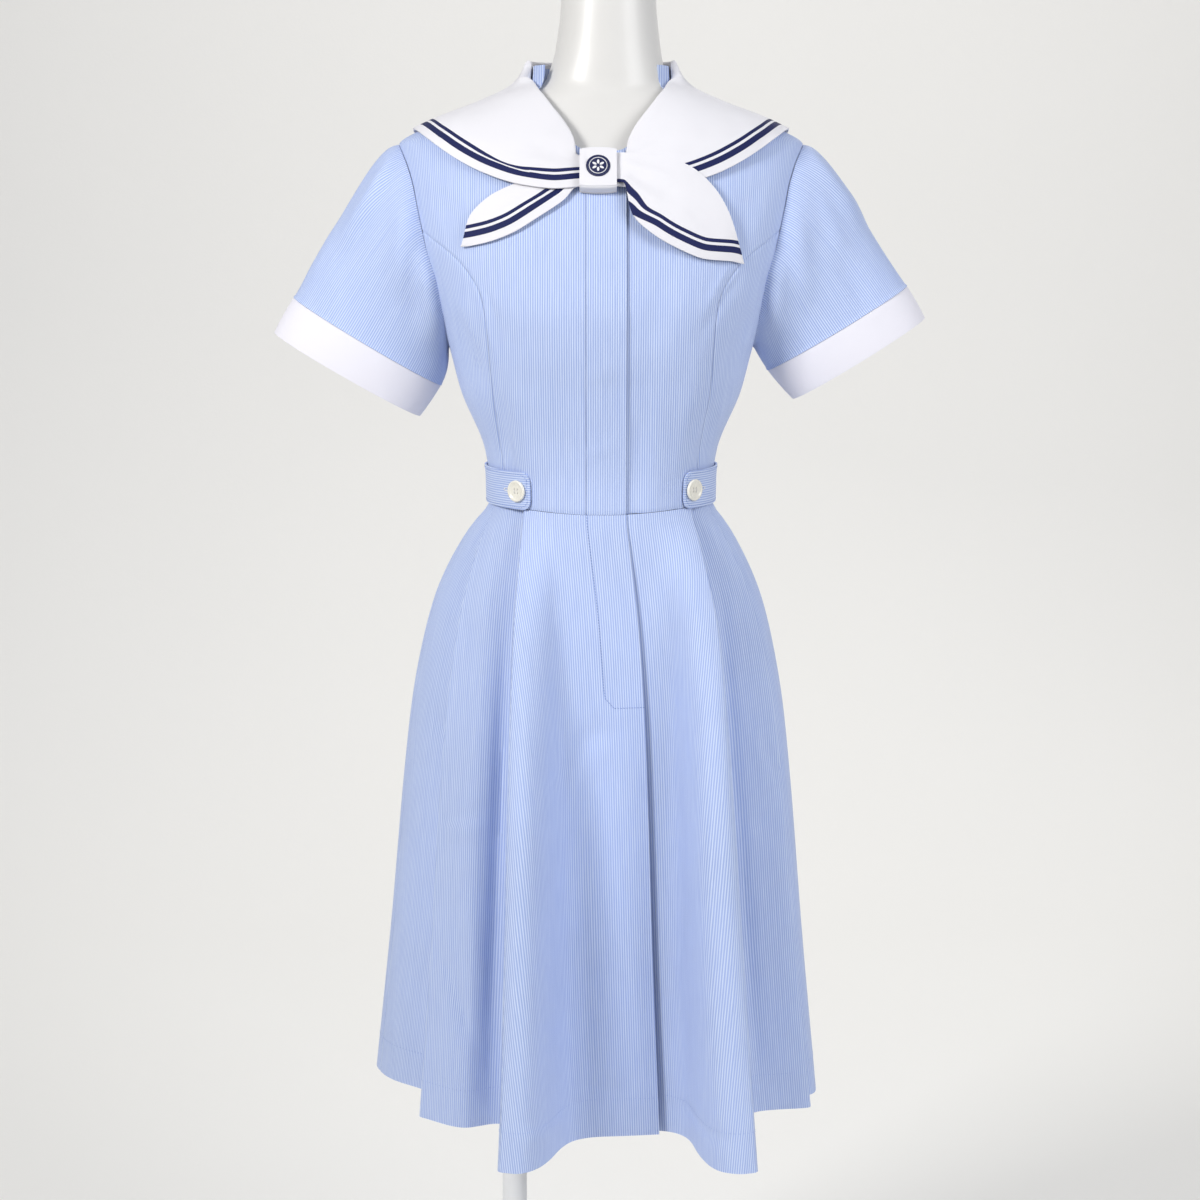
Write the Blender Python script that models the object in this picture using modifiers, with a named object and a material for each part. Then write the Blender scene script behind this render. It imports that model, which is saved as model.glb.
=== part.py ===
"""A short-sleeved sailor dress worn by a limbless dress form on a pole and a round base.

Metres, +Z up. +X is the wearer's left and -Y the front. The origin is the middle of the base's
underside, on the floor. Every cloth piece is a thin wall. The bodice, collar, tie, belt and
buttons are all placed on one body surface, so that they follow each other.
"""

import math
from collections import namedtuple

import bpy
from mathutils import Vector

# Driving sizes
HEM_Z = 0.420
WAIST_Z = 1.011
WAIST_DIP = 0.005
NECK_POINT_Z = 1.392
STAND_TOP_Z = 1.4165
CLOTH = 0.0011
DOUBLED = 0.0016
SEAM_GAP = 0.0005
SHOULDER_GAP = 0.0012
SIDE_SEAM_TRIM = 0.0004
LAP = 0.0225
UNDERLAP = 0.0135
UNDERLAP_DROP = 0.0030
UNDERLAP_START_DEG = 16.0
UNDERLAP_END_DEG = 26.0
PRINCESS_GAP = 0.0009
SIDE_DEG = 90.0
BACK_DEG = 180.0

# The bodice in level sections: half width, depth to front and back, and the roundness of each
# half, where 2 is an ellipse and more is squarer. Above the shoulder point it runs in to the neck.
Section = namedtuple("Section", "z half front back front_round back_round")
SECTIONS = [
    Section(1.0060, 0.1050, 0.0885, 0.0810, 2.10, 2.10),
    Section(1.0300, 0.1050, 0.0890, 0.0805, 2.12, 2.10),
    Section(1.0570, 0.1085, 0.0920, 0.0820, 2.18, 2.15),
    Section(1.1150, 0.1310, 0.1060, 0.0920, 2.30, 2.22),
    Section(1.1560, 0.1415, 0.1175, 0.0990, 2.40, 2.28),
    Section(1.1950, 0.1535, 0.1230, 0.1020, 2.48, 2.32),
    Section(1.2300, 0.1655, 0.1180, 0.1040, 2.48, 2.36),
    Section(1.2620, 0.1745, 0.1095, 0.1025, 2.44, 2.36),
    Section(1.3020, 0.1825, 0.0945, 0.0970, 2.28, 2.28),
    Section(1.3250, 0.1858, 0.0825, 0.0905, 2.15, 2.15),
    Section(1.3396, 0.1865, 0.0745, 0.0850, 2.08, 2.08),
    Section(1.3560, 0.1610, 0.0650, 0.0775, 2.00, 2.00),
    Section(1.3720, 0.1200, 0.0575, 0.0700, 2.00, 2.00),
    Section(1.3830, 0.0900, 0.0525, 0.0640, 2.00, 2.00),
    Section(1.3920, 0.0670, 0.0480, 0.0590, 2.00, 2.00),
    Section(1.4050, 0.0635, 0.0450, 0.0560, 2.00, 2.00),
    Section(1.4165, 0.0630, 0.0440, 0.0545, 2.00, 2.00),
]

# Seams and edges: distance from the middle towards the piece's own side, and height.
Spot = namedtuple("Spot", "x z")
PRINCESS_SEAM = [
    Spot(0.0845, 1.010), Spot(0.0940, 1.070), Spot(0.1000, 1.130), Spot(0.1025, 1.175),
    Spot(0.1080, 1.205), Spot(0.1240, 1.231), Spot(0.1630, 1.262),
]
ARMHOLE_LOW = [
    Spot(0.1630, 1.262), Spot(0.1570, 1.235), Spot(0.1500, 1.205), Spot(0.1450, 1.178),
    Spot(0.1415, 1.156),
]
ARMHOLE_HIGH = [
    Spot(0.1630, 1.262), Spot(0.1675, 1.282), Spot(0.1715, 1.302), Spot(0.1780, 1.322),
    Spot(0.1865, 1.3396),
]
NECKLINE = [
    Spot(0.0000, 1.3305), Spot(0.0160, 1.3335), Spot(0.0300, 1.3430), Spot(0.0460, 1.3580),
    Spot(0.0580, 1.3760), Spot(0.0655, 1.3875), Spot(0.0670, 1.3920),
]
BACK_NECKLINE = [
    Spot(0.0000, 1.3810), Spot(0.0300, 1.3825), Spot(0.0500, 1.3860), Spot(0.0620, 1.3895),
    Spot(0.0670, 1.3920),
]

# The skirt's fold lines in order round the hem: from the hidden front lap edge, by the wearer's
# left side, the back and the wearer's right side, to the lap edge that shows. Each row is a ridge,
# a valley, or one turn of a pleat. `deg` is its place on the waist seam and `layer` how deep it
# lies there under the outer cloth. hem_x and hem_y are its end on the hem.
Fold = namedtuple("Fold", "name deg layer hem_x hem_y")
LEFT_FRONT = [
    Fold("underlap_edge", -7.5, 0.0019, 0.0180, -0.0860),
    Fold("underlap_middle", 4.0, 0.0019, 0.0360, -0.0840),
    Fold("underlap_end", 12.5, 0.0019, 0.0540, -0.0835),
    Fold("centre_valley", 19.0, 0.0004, 0.0720, -0.0900),
    Fold("lobe_foot", 27.0, 0.0, 0.0840, -0.1080),
    Fold("lobe_flank", 34.0, 0.0, 0.0900, -0.1480),
    Fold("lobe_rise", 41.0, 0.0, 0.1030, -0.1840),
    Fold("lobe_ridge", 46.0, 0.0, 0.1240, -0.1930),
    Fold("pleat_lead", 50.5, 0.0, 0.1380, -0.1890),
    Fold("pleat_edge", 52.0, 0.0, 0.1415, -0.1870),
    Fold("pleat_turn", 52.0, 0.0044, 0.1425, -0.1825),
    Fold("pleat_back", 50.5, 0.0044, 0.1410, -0.1780),
    Fold("pleat_return", 46.0, 0.0044, 0.1340, -0.1250),
    Fold("inner_lead", 43.5, 0.0044, 0.1250, -0.0740),
    Fold("inner_edge", 42.0, 0.0044, 0.1220, -0.0690),
    Fold("inner_turn", 42.0, 0.0058, 0.1220, -0.0640),
    Fold("inner_tail", 43.5, 0.0058, 0.1260, -0.0580),
    Fold("pleat_outlet", 54.0, 0.0056, 0.1490, -0.0340),
    Fold("side_panel", 60.0, 0.0010, 0.1720, -0.0280),
    Fold("side_rise", 66.0, 0.0, 0.1900, -0.0260),
    Fold("side_lead", 70.5, 0.0, 0.1995, -0.0240),
    Fold("side_edge", 72.0, 0.0, 0.2035, -0.0220),
    Fold("side_turn", 72.0, 0.0044, 0.2045, -0.0175),
    Fold("side_back", 70.5, 0.0044, 0.2020, -0.0140),
    Fold("side_inner_lead", 66.0, 0.0044, 0.1930, -0.0060),
    Fold("side_inner_edge", 64.5, 0.0044, 0.1900, -0.0020),
    Fold("side_inner_turn", 64.5, 0.0058, 0.1905, 0.0030),
    Fold("side_inner_tail", 66.0, 0.0058, 0.1950, 0.0070),
    Fold("side_outlet", 73.5, 0.0056, 0.2070, 0.0120),
    Fold("side_round", 81.0, 0.0010, 0.2135, 0.0230),
    Fold("left_side_seam", 90.0, 0.0, 0.2140, 0.0470),
]
BACK = [
    Fold("left_side_valley", 99.0, 0.0, 0.2095, 0.0720),
    Fold("left_flank", 107.0, 0.0, 0.2070, 0.1010),
    Fold("left_panel", 116.0, 0.0012, 0.1930, 0.1130),
    Fold("left_outlet", 122.0, 0.0056, 0.1640, 0.1010),
    Fold("left_inner_tail", 133.0, 0.0058, 0.1260, 0.0920),
    Fold("left_inner_turn", 134.5, 0.0058, 0.1215, 0.0930),
    Fold("left_inner_edge", 134.5, 0.0044, 0.1200, 0.0975),
    Fold("left_inner_lead", 133.0, 0.0044, 0.1220, 0.1020),
    Fold("left_return", 129.0, 0.0044, 0.1330, 0.1440),
    Fold("left_back", 125.5, 0.0044, 0.1410, 0.1750),
    Fold("left_turn", 124.0, 0.0044, 0.1430, 0.1790),
    Fold("left_edge", 124.0, 0.0, 0.1420, 0.1840),
    Fold("left_lead", 125.5, 0.0, 0.1385, 0.1860),
    Fold("left_ridge", 131.0, 0.0, 0.1160, 0.1870),
    Fold("left_slope", 141.0, 0.0, 0.0850, 0.1600),
    Fold("left_foot", 153.0, 0.0, 0.0580, 0.1250),
    Fold("back_valley", 167.0, 0.0, 0.0250, 0.1120),
    Fold("back_middle", 181.0, 0.0, -0.0100, 0.1130),
    Fold("right_foot", 197.0, 0.0, -0.0480, 0.1240),
    Fold("right_slope", 212.0, 0.0, -0.0800, 0.1590),
    Fold("right_ridge", 223.0, 0.0, -0.1090, 0.1890),
    Fold("right_lead", 229.5, 0.0, -0.1330, 0.1890),
    Fold("right_edge", 231.0, 0.0, -0.1370, 0.1875),
    Fold("right_turn", 231.0, 0.0044, -0.1385, 0.1825),
    Fold("right_back", 229.5, 0.0044, -0.1370, 0.1785),
    Fold("right_return", 226.0, 0.0044, -0.1300, 0.1480),
    Fold("right_inner_lead", 222.0, 0.0044, -0.1200, 0.1080),
    Fold("right_inner_edge", 220.5, 0.0044, -0.1180, 0.1035),
    Fold("right_inner_turn", 220.5, 0.0058, -0.1195, 0.0990),
    Fold("right_inner_tail", 222.0, 0.0058, -0.1240, 0.0980),
    Fold("right_outlet", 233.0, 0.0056, -0.1620, 0.1080),
    Fold("right_panel", 240.0, 0.0012, -0.1930, 0.1200),
    Fold("right_flank", 252.0, 0.0, -0.2190, 0.1190),
    Fold("right_side_ridge", 262.0, 0.0, -0.2310, 0.1080),
]
RIGHT_FRONT = [
    Fold("right_side_seam", -90.0, 0.0, -0.2255, 0.0830),
    Fold("side_round", -80.0, 0.0010, -0.2110, 0.0560),
    Fold("side_outlet", -73.5, 0.0056, -0.1830, 0.0330),
    Fold("side_inner_tail", -66.0, 0.0058, -0.1690, 0.0210),
    Fold("side_inner_turn", -64.5, 0.0058, -0.1655, 0.0165),
    Fold("side_inner_edge", -64.5, 0.0044, -0.1650, 0.0115),
    Fold("side_inner_lead", -66.0, 0.0044, -0.1665, 0.0065),
    Fold("side_back", -70.5, 0.0044, -0.1735, -0.0390),
    Fold("side_turn", -72.0, 0.0044, -0.1750, -0.0435),
    Fold("side_edge", -72.0, 0.0, -0.1740, -0.0485),
    Fold("side_lead", -70.5, 0.0, -0.1700, -0.0510),
    Fold("lobe_front", -64.0, 0.0, -0.1340, -0.0800),
    Fold("side_panel", -54.0, 0.0010, -0.1140, -0.0720),
    Fold("pleat_outlet", -44.5, 0.0056, -0.1000, -0.0660),
    Fold("inner_tail", -34.5, 0.0058, -0.0800, -0.0690),
    Fold("inner_turn", -33.0, 0.0058, -0.0765, -0.0720),
    Fold("inner_edge", -33.0, 0.0044, -0.0760, -0.0770),
    Fold("inner_lead", -34.5, 0.0044, -0.0775, -0.0820),
    Fold("pleat_return", -38.0, 0.0044, -0.0870, -0.1300),
    Fold("pleat_back", -41.0, 0.0044, -0.0930, -0.1770),
    Fold("pleat_turn", -42.5, 0.0044, -0.0945, -0.1815),
    Fold("pleat_edge", -42.5, 0.0, -0.0935, -0.1865),
    Fold("pleat_lead", -41.0, 0.0, -0.0895, -0.1885),
    Fold("lobe_ridge", -36.0, 0.0, -0.0700, -0.1930),
    Fold("lobe_fall", -30.0, 0.0, -0.0500, -0.1700),
    Fold("lobe_foot", -23.0, 0.0, -0.0340, -0.1180),
    Fold("front_middle", -11.0, 0.0, -0.0140, -0.1020),
    Fold("lap_inner", 3.0, 0.0, 0.0230, -0.0985),
    Fold("lap_edge", 12.5, 0.0, 0.0550, -0.0940),
]
FOLDS = LEFT_FRONT + BACK + RIGHT_FRONT

# How far every fold has travelled from the waist seam to its place on the hem.
Bloom = namedtuple("Bloom", "z share")
BLOOM = [
    Bloom(0.420, 1.000), Bloom(0.581, 0.857), Bloom(0.737, 0.733), Bloom(0.812, 0.657),
    Bloom(0.872, 0.560), Bloom(0.916, 0.457), Bloom(0.943, 0.362), Bloom(0.970, 0.240),
    Bloom(0.989, 0.133), Bloom(1.0005, 0.048), Bloom(1.011, 0.000),
]
FRONT_DELAY = 0.45
WIDE_FOLD = 0.024
SKIRT_ROWS = [0.0, 0.18, 0.36, 0.51, 0.64, 0.75, 0.84, 0.905, 0.95, 0.98, 1.0]

# Sleeves: the cuff seam and cuff hem seen from the front, outer and inner end of each.
CUFF_FIELDS = "side outer_x outer_z inner_x inner_z hem_outer_x hem_outer_z hem_inner_x hem_inner_z"
Cuff = namedtuple("Cuff", CUFF_FIELDS)
CUFFS = [
    Cuff(-1, 0.2860, 1.2005, 0.1500, 1.1190, 0.3050, 1.1680, 0.1700, 1.0900),
    Cuff(1, 0.2845, 1.2110, 0.1560, 1.1330, 0.3020, 1.1815, 0.1800, 1.1060),
]
CUFF_DEPTH = 0.0430
HEM_DEPTH_SHARE = 0.97
SLEEVE_AROUND = 24
SLEEVE_ALONG = 8
# The sleeve leaves the armhole along its own axis, outwards and away from the armhole's middle.
LEAD_AXIS = 0.35
LEAD_SIDE = 0.80
LEAD_SPREAD = 0.55
ARMHOLE_GAP = 0.0009
CAP_LENGTH = 0.021
CAP_SHARE = 0.30
CUFF_SHARE = 0.52

# The collar: roll line, outer edge and how far its fall stands off the body.
ROLL_FRONT = [
    Spot(0.0110, 1.3248), Spot(0.0205, 1.3258), Spot(0.0245, 1.3400), Spot(0.0330, 1.3560),
    Spot(0.0470, 1.3745), Spot(0.0620, 1.3950), Spot(0.0632, 1.4080), Spot(0.0630, 1.4165),
]
LAPEL_EDGE = [
    Spot(0.0110, 1.3012), Spot(0.0205, 1.3005), Spot(0.0400, 1.2990), Spot(0.0700, 1.3030),
    Spot(0.1000, 1.3130), Spot(0.1240, 1.3260), Spot(0.1440, 1.3410), Spot(0.1610, 1.3560),
]
FLAP_EDGE = [
    Spot(0.1610, 1.3560), Spot(0.1620, 1.3250), Spot(0.1590, 1.2900), Spot(0.1550, 1.2550),
    Spot(0.1510, 1.2250),
]
FLAP_BOTTOM = [Spot(0.1510, 1.2250), Spot(0.1000, 1.2170), Spot(0.0500, 1.2140), Spot(0.0, 1.2130)]
Ease = namedtuple("Ease", "z front side")
COLLAR_EASE = [
    Ease(1.2000, 0.0054, 0.0056), Ease(1.2900, 0.0052, 0.0066), Ease(1.3150, 0.0056, 0.0085),
    Ease(1.3350, 0.0072, 0.0100), Ease(1.3600, 0.0072, 0.0120), Ease(1.3750, 0.0072, 0.0135),
    Ease(1.3860, 0.0080, 0.0165), Ease(1.3950, 0.0084, 0.0155), Ease(1.4050, 0.0072, 0.0100),
    Ease(1.4165, 0.0060, 0.0062),
]
FACING_IN = 0.0018
FACING_SIDE_Z = 1.3945
FACING_BACK_Z = 1.3920
FACING_TURN = 120
FACING_STEP = 12
FACING_TOP_GAP = 0.0040
STAND_OUT = 0.0008
STAND_HEIGHT = 0.0062
STAND_LIFT = 0.0022
ROLL_HEIGHT = 0.0036
ROLL_WIDTH = 0.0062
KEEPER_STAND_OUT = 0.0018
RIGHT_KNOT_EASE = 0.0087
LEFT_KNOT_EASE = 0.0073
KNOT_START = 0.0650
KNOT_END = 0.1150
KEEPER_SIDE_START = 0.0190
KEEPER_SIDE_END = 0.0300
LAPEL_COLUMNS = 11
SHOULDER_COLUMNS = 8
FLAP_COLUMNS = 5
FALL_LEAD = 0.12
# The roll in section: share of its width from the stand to the fall, and how far below its top.
RollStep = namedtuple("RollStep", "share below")
ROLL_STEPS = [RollStep(0.12, 0.0012), RollStep(0.50, 0.0), RollStep(0.92, 0.0012)]
FALL_ROWS = [0.09, 0.23, 0.42, 0.62, 0.81, 1.0]

# The tie's tails: stations from the keeper to the tip, upper and lower edge of each.
Station = namedtuple("Station", "top_x top_z low_x low_z out")
RIGHT_TAIL = [
    Station(-0.0010, 1.3180, -0.0010, 1.2995, 0.0046), Station(0.0195, 1.3180, 0.0195, 1.2990, 0.0046),
    Station(0.0500, 1.3120, 0.0330, 1.2870, 0.0046), Station(0.0750, 1.3020, 0.0560, 1.2720, 0.0044),
    Station(0.0980, 1.2910, 0.0800, 1.2580, 0.0042), Station(0.1165, 1.2720, 0.1000, 1.2510, 0.0040),
    Station(0.1215, 1.2520, 0.1150, 1.2480, 0.0038),
]
LEFT_TAIL = [
    Station(0.0020, 1.3260, 0.0020, 1.3015, 0.0092), Station(0.0190, 1.3260, 0.0190, 1.3005, 0.0094),
    Station(0.0500, 1.3240, 0.0270, 1.2740, 0.0096), Station(0.0760, 1.3150, 0.0430, 1.2580, 0.0094),
    Station(0.0980, 1.2980, 0.0660, 1.2450, 0.0076), Station(0.1130, 1.2740, 0.0920, 1.2360, 0.0056),
    Station(0.1210, 1.2490, 0.1150, 1.2345, 0.0044), Station(0.1245, 1.2360, 0.1210, 1.2330, 0.0042),
]

# The keeper: a flat loop round both layers of the tie, its section first and then its width.
KEEPER_Z = 1.3120
KEEPER_DEG = -0.8
KEEPER_HALF_HEIGHT = 0.0205
KEEPER_NEAR = 0.0006
KEEPER_FAR = 0.0134
KEEPER_CORNER = 0.0034
KEEPER_BACK_ROUND = 0.0009
KEEPER_FRONT_ROUND = 0.0012
KEEPER_SWELL = 0.0008
KeeperRow = namedtuple("KeeperRow", "x pinch")
KEEPER_ROWS = [
    KeeperRow(-0.0165, 0.94), KeeperRow(-0.0080, 1.00), KeeperRow(0.0, 1.01), KeeperRow(0.0080, 1.00),
    KeeperRow(0.0165, 0.94),
]

# The half belt, as angle, middle height and offset, from button to button round the back. Its
# left end lies further from the middle than its right end, and so do the buttons.
BELT_HEIGHT = 0.0350
BELT_OUT = 0.0030
BELT_LEFT_DEG = 44.0
BELT_RIGHT_DEG = 36.5
BELT_FRONT_Z = 1.0255
BELT_SIDE_Z = 1.0285
BELT_STEPS = 40
BELT_ROWS = [-0.5, -0.17, 0.17, 0.5]
# The belt's end is rounded off over this many degrees: its height at the tip and one step in.
BELT_TIP_DEG = 3.0
BELT_TAPER = (0.55, 0.93)
BUTTON_RADIUS = 0.0100
BUTTON_THICKNESS = 0.0026
BUTTON_LEFT_DEG = 50.6
BUTTON_RIGHT_DEG = 44.3
BUTTON_GAP = 0.0006
BUTTON_DROP = 0.0005
BUTTON_AROUND = 20
# A button's edge in section: share of its thickness and of its radius.
ButtonEdge = namedtuple("ButtonEdge", "level size")
BUTTON_EDGES = [ButtonEdge(0.0, 0.90), ButtonEdge(0.3, 1.0), ButtonEdge(0.75, 1.0), ButtonEdge(1.0, 0.90)]

# Dress form, pole and base
FormSection = namedtuple("FormSection", "z half front back shift")
FORM_HIPS = [
    FormSection(0.7400, 0.1060, 0.0500, 0.0740, 0.0), FormSection(0.7450, 0.1170, 0.0590, 0.0850, 0.0),
    FormSection(0.7600, 0.1230, 0.0640, 0.0910, 0.0), FormSection(0.8100, 0.1250, 0.0660, 0.0940, 0.0),
    FormSection(0.8600, 0.1220, 0.0660, 0.0930, 0.0), FormSection(0.9200, 0.1100, 0.0680, 0.0840, 0.0),
    FormSection(0.9700, 0.0980, 0.0720, 0.0720, 0.0),
]
FORM_NECK = [
    FormSection(1.3840, 0.0760, 0.0440, 0.0560, 0.0), FormSection(1.3900, 0.0620, 0.0440, 0.0530, 0.0),
    FormSection(1.3960, 0.0570, 0.0440, 0.0510, 0.001),
    FormSection(1.4050, 0.0545, 0.0440, 0.0500, 0.002), FormSection(1.4250, 0.0490, 0.0430, 0.0460, 0.004),
    FormSection(1.4550, 0.0445, 0.0420, 0.0430, 0.006), FormSection(1.4800, 0.0430, 0.0410, 0.0420, 0.007),
    FormSection(1.4980, 0.0430, 0.0410, 0.0420, 0.007), FormSection(1.5030, 0.0400, 0.0380, 0.0390, 0.007),
]
FormDrop = namedtuple("FormDrop", "z drop")
FORM_DROP = [
    FormDrop(1.0060, 0.0090), FormDrop(1.0300, 0.0075), FormDrop(1.1000, 0.0055), FormDrop(1.2900, 0.0045),
    FormDrop(1.3200, 0.0042), FormDrop(1.3396, 0.0042), FormDrop(1.3540, 0.0031),
    FormDrop(1.3720, 0.0027), FormDrop(1.3920, 0.0050),
]
FORM_AROUND = 28
FORM_LEVELS = [
    1.006, 1.035, 1.060, 1.090, 1.120, 1.150, 1.180, 1.210, 1.240, 1.270, 1.300, 1.322, 1.3396, 1.354, 1.372,
]
FORM_ROUND = 2.1
FRONT_DROP_POWER = 6
FRONT_DROP = 0.0038
POLE_X = -0.0850
POLE_RADIUS = 0.0120
POLE_TOP_Z = 0.7395
POLE_AROUND = 20
BASE_AROUND = 64
BASE_RADIUS = 0.1800
BASE_THICKNESS = 0.0080
BASE_BEVEL = 0.0020

LIGHT_BLUE = (0.50, 0.62, 0.88, 1.0)
WHITE_CLOTH = (0.92, 0.91, 0.97, 1.0)
FORM_WHITE = (0.90, 0.90, 0.88, 1.0)
BUTTON_WHITE = (0.88, 0.86, 0.80, 1.0)
FABRIC = (LIGHT_BLUE, 0.85)
COLLAR_FABRIC = (WHITE_CLOTH, 0.8)

# Rows and columns of the walls
PRINCESS_ROWS = 11
FRONT_ROWS = 10
FRONT_COLUMNS = 9
SIDE_COLUMNS = 4
BACK_ROWS = 10
BACK_NECK_ROWS = 4
BACK_COLUMNS = 8
ARMHOLE_ROWS = [0.25, 0.50, 0.72, 0.88, 1.0]


class Smooth:
    """A curve through table values that never overshoots between them."""

    def __init__(self, places, values):
        self.places = list(places)
        self.values = list(values)
        steps = [b - a for a, b in zip(self.places, self.places[1:])]
        rises = [(b - a) / step for a, b, step in zip(self.values, self.values[1:], steps)]
        self.slopes = [rises[0]]
        for left, right, before, after in zip(rises, rises[1:], steps, steps[1:]):
            if left * right <= 0.0:
                self.slopes.append(0.0)
                continue
            weight_left = 2.0 * after + before
            weight_right = after + 2.0 * before
            total = weight_left + weight_right
            self.slopes.append(total / (weight_left / left + weight_right / right))
        self.slopes.append(rises[-1])

    def __call__(self, place):
        place = min(max(place, self.places[0]), self.places[-1])
        index = 0
        while index < len(self.places) - 2 and place > self.places[index + 1]:
            index += 1
        width = self.places[index + 1] - self.places[index]
        t = (place - self.places[index]) / width
        square, cube = t * t, t * t * t
        return (
            (2.0 * cube - 3.0 * square + 1.0) * self.values[index]
            + (cube - 2.0 * square + t) * width * self.slopes[index]
            + (3.0 * square - 2.0 * cube) * self.values[index + 1]
            + (cube - square) * width * self.slopes[index + 1]
        )


def table_curve(rows, place, value):
    """A Smooth curve over one named column of a table."""
    return Smooth([getattr(row, place) for row in rows], [getattr(row, value) for row in rows])


def smooth_step(value, low, high):
    """0 below low, 1 above high, and an even S between."""
    t = min(max((value - low) / (high - low), 0.0), 1.0)
    return t * t * (3.0 - 2.0 * t)


class Body:
    """The surface of the bodice, by the angle round it and the height."""

    def __init__(self, rows):
        self.half = table_curve(rows, "z", "half")
        self.front = table_curve(rows, "z", "front")
        self.back = table_curve(rows, "z", "back")
        self.front_round = table_curve(rows, "z", "front_round")
        self.back_round = table_curve(rows, "z", "back_round")

    def ring(self, deg, half, front, back, front_round, back_round):
        """A point on one level section."""
        across, ahead = math.sin(math.radians(deg)), math.cos(math.radians(deg))
        power = front_round if ahead >= 0.0 else back_round
        depth = front if ahead >= 0.0 else back
        reach = (abs(across) ** power + abs(ahead) ** power) ** (-1.0 / power)
        return half * across * reach, -depth * ahead * reach

    def raw(self, deg, z, ease=(0.0, 0.0)):
        """The surface point. ease widens the section: to front and back, and to the sides."""
        x, y = self.ring(
            deg, self.half(z) + ease[1], self.front(z) + ease[0], self.back(z) + ease[0],
            self.front_round(z), self.back_round(z),
        )
        return Vector((x, y, z))

    def normal(self, deg, z):
        """The outward unit normal."""
        around = self.raw(deg + 0.4, z) - self.raw(deg - 0.4, z)
        upward = self.raw(deg, z + 0.0008) - self.raw(deg, z - 0.0008)
        return around.cross(upward).normalized()

    def point(self, deg, z, out=0.0):
        """The surface point, moved out along the normal."""
        place = self.raw(deg, z)
        return place + self.normal(deg, z) * out if out else place

    def turn_at(self, x, z, back=False):
        """The angle where the section at z is x from the middle, in the front or back half."""
        power = self.back_round(z) if back else self.front_round(z)
        share = min(abs(x) / self.half(z), 1.0)
        rest = max(1.0 - share ** power, 0.0)
        deg = 90.0 if rest <= 1e-9 else math.degrees(math.atan(share / rest ** (1.0 / power)))
        deg = 180.0 - deg if back else deg
        return math.copysign(deg, x)


BODY = Body(SECTIONS)


def waist_z(deg):
    """Height of the waist seam, which dips at the front."""
    return WAIST_Z - WAIST_DIP * max(math.cos(math.radians(deg)), 0.0) ** 4


class Track:
    """A line on the body by its share of length, from (angle, height) points."""

    def __init__(self, places):
        self.places = places
        spots = [BODY.raw(deg, z) for deg, z in places]
        self.marks = [0.0]
        for before, after in zip(spots, spots[1:]):
            self.marks.append(self.marks[-1] + (after - before).length)

    @property
    def length(self):
        return self.marks[-1]

    def at(self, share):
        """The (angle, height) at this share of the length."""
        aim = min(max(share, 0.0), 1.0) * self.length
        index = 0
        while index < len(self.marks) - 2 and aim > self.marks[index + 1]:
            index += 1
        span = self.marks[index + 1] - self.marks[index]
        t = (aim - self.marks[index]) / span if span else 0.0
        (deg_a, z_a), (deg_b, z_b) = self.places[index], self.places[index + 1]
        return deg_a + (deg_b - deg_a) * t, z_a + (z_b - z_a) * t


class Steps:
    """A line on the body by its share of points, so that two pieces share the points of a seam."""

    def __init__(self, places):
        self.places = places

    def at(self, share):
        """The (angle, height) at this share of the points."""
        aim = share * (len(self.places) - 1)
        index = min(int(aim + 1e-9), len(self.places) - 2)
        t = aim - index
        (deg_a, z_a), (deg_b, z_b) = self.places[index], self.places[index + 1]
        return deg_a + (deg_b - deg_a) * t, z_a + (z_b - z_a) * t


def spots_track(spots, side, back=False, steps=5):
    """A track through spots, rounded through them in the front view."""
    knots = list(range(len(spots)))
    xs = Smooth(knots, [spot.x for spot in spots])
    zs = Smooth(knots, [spot.z for spot in spots])
    places = []
    for count in range((len(spots) - 1) * steps + 1):
        x, z = xs(count / steps), zs(count / steps)
        places.append((side * math.copysign(abs(BODY.turn_at(x, z, back)), x if x else 1.0), z))
    return places


def moved(places, gap):
    """The places, moved round the body by a length, so that seams have a gap."""
    result = []
    for deg, z in places:
        per_degree = (BODY.raw(deg + 0.5, z) - BODY.raw(deg - 0.5, z)).length
        result.append((deg + gap / per_degree, z))
    return result


def coons(bottom, top, inner, outer, u, v):
    """A point inside four tracks, as (angle, height)."""
    sides = [(1.0 - v, bottom.at(u)), (v, top.at(u)), (1.0 - u, inner.at(v)), (u, outer.at(v))]
    corners = [
        ((1.0 - u) * (1.0 - v), inner.at(0.0)), (u * (1.0 - v), outer.at(0.0)),
        ((1.0 - u) * v, inner.at(1.0)), (u * v, outer.at(1.0)),
    ]
    return tuple(
        sum(weight * place[axis] for weight, place in sides)
        - sum(weight * place[axis] for weight, place in corners)
        for axis in (0, 1)
    )


def new_material(name, colour, roughness, metallic=0.0):
    """A plain Principled material."""
    material = bpy.data.materials.new(name)
    material.use_nodes = True
    shader = material.node_tree.nodes["Principled BSDF"]
    shader.inputs["Base Color"].default_value = colour
    shader.inputs["Roughness"].default_value = roughness
    shader.inputs["Metallic"].default_value = metallic
    material.diffuse_color = colour
    return material


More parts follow.
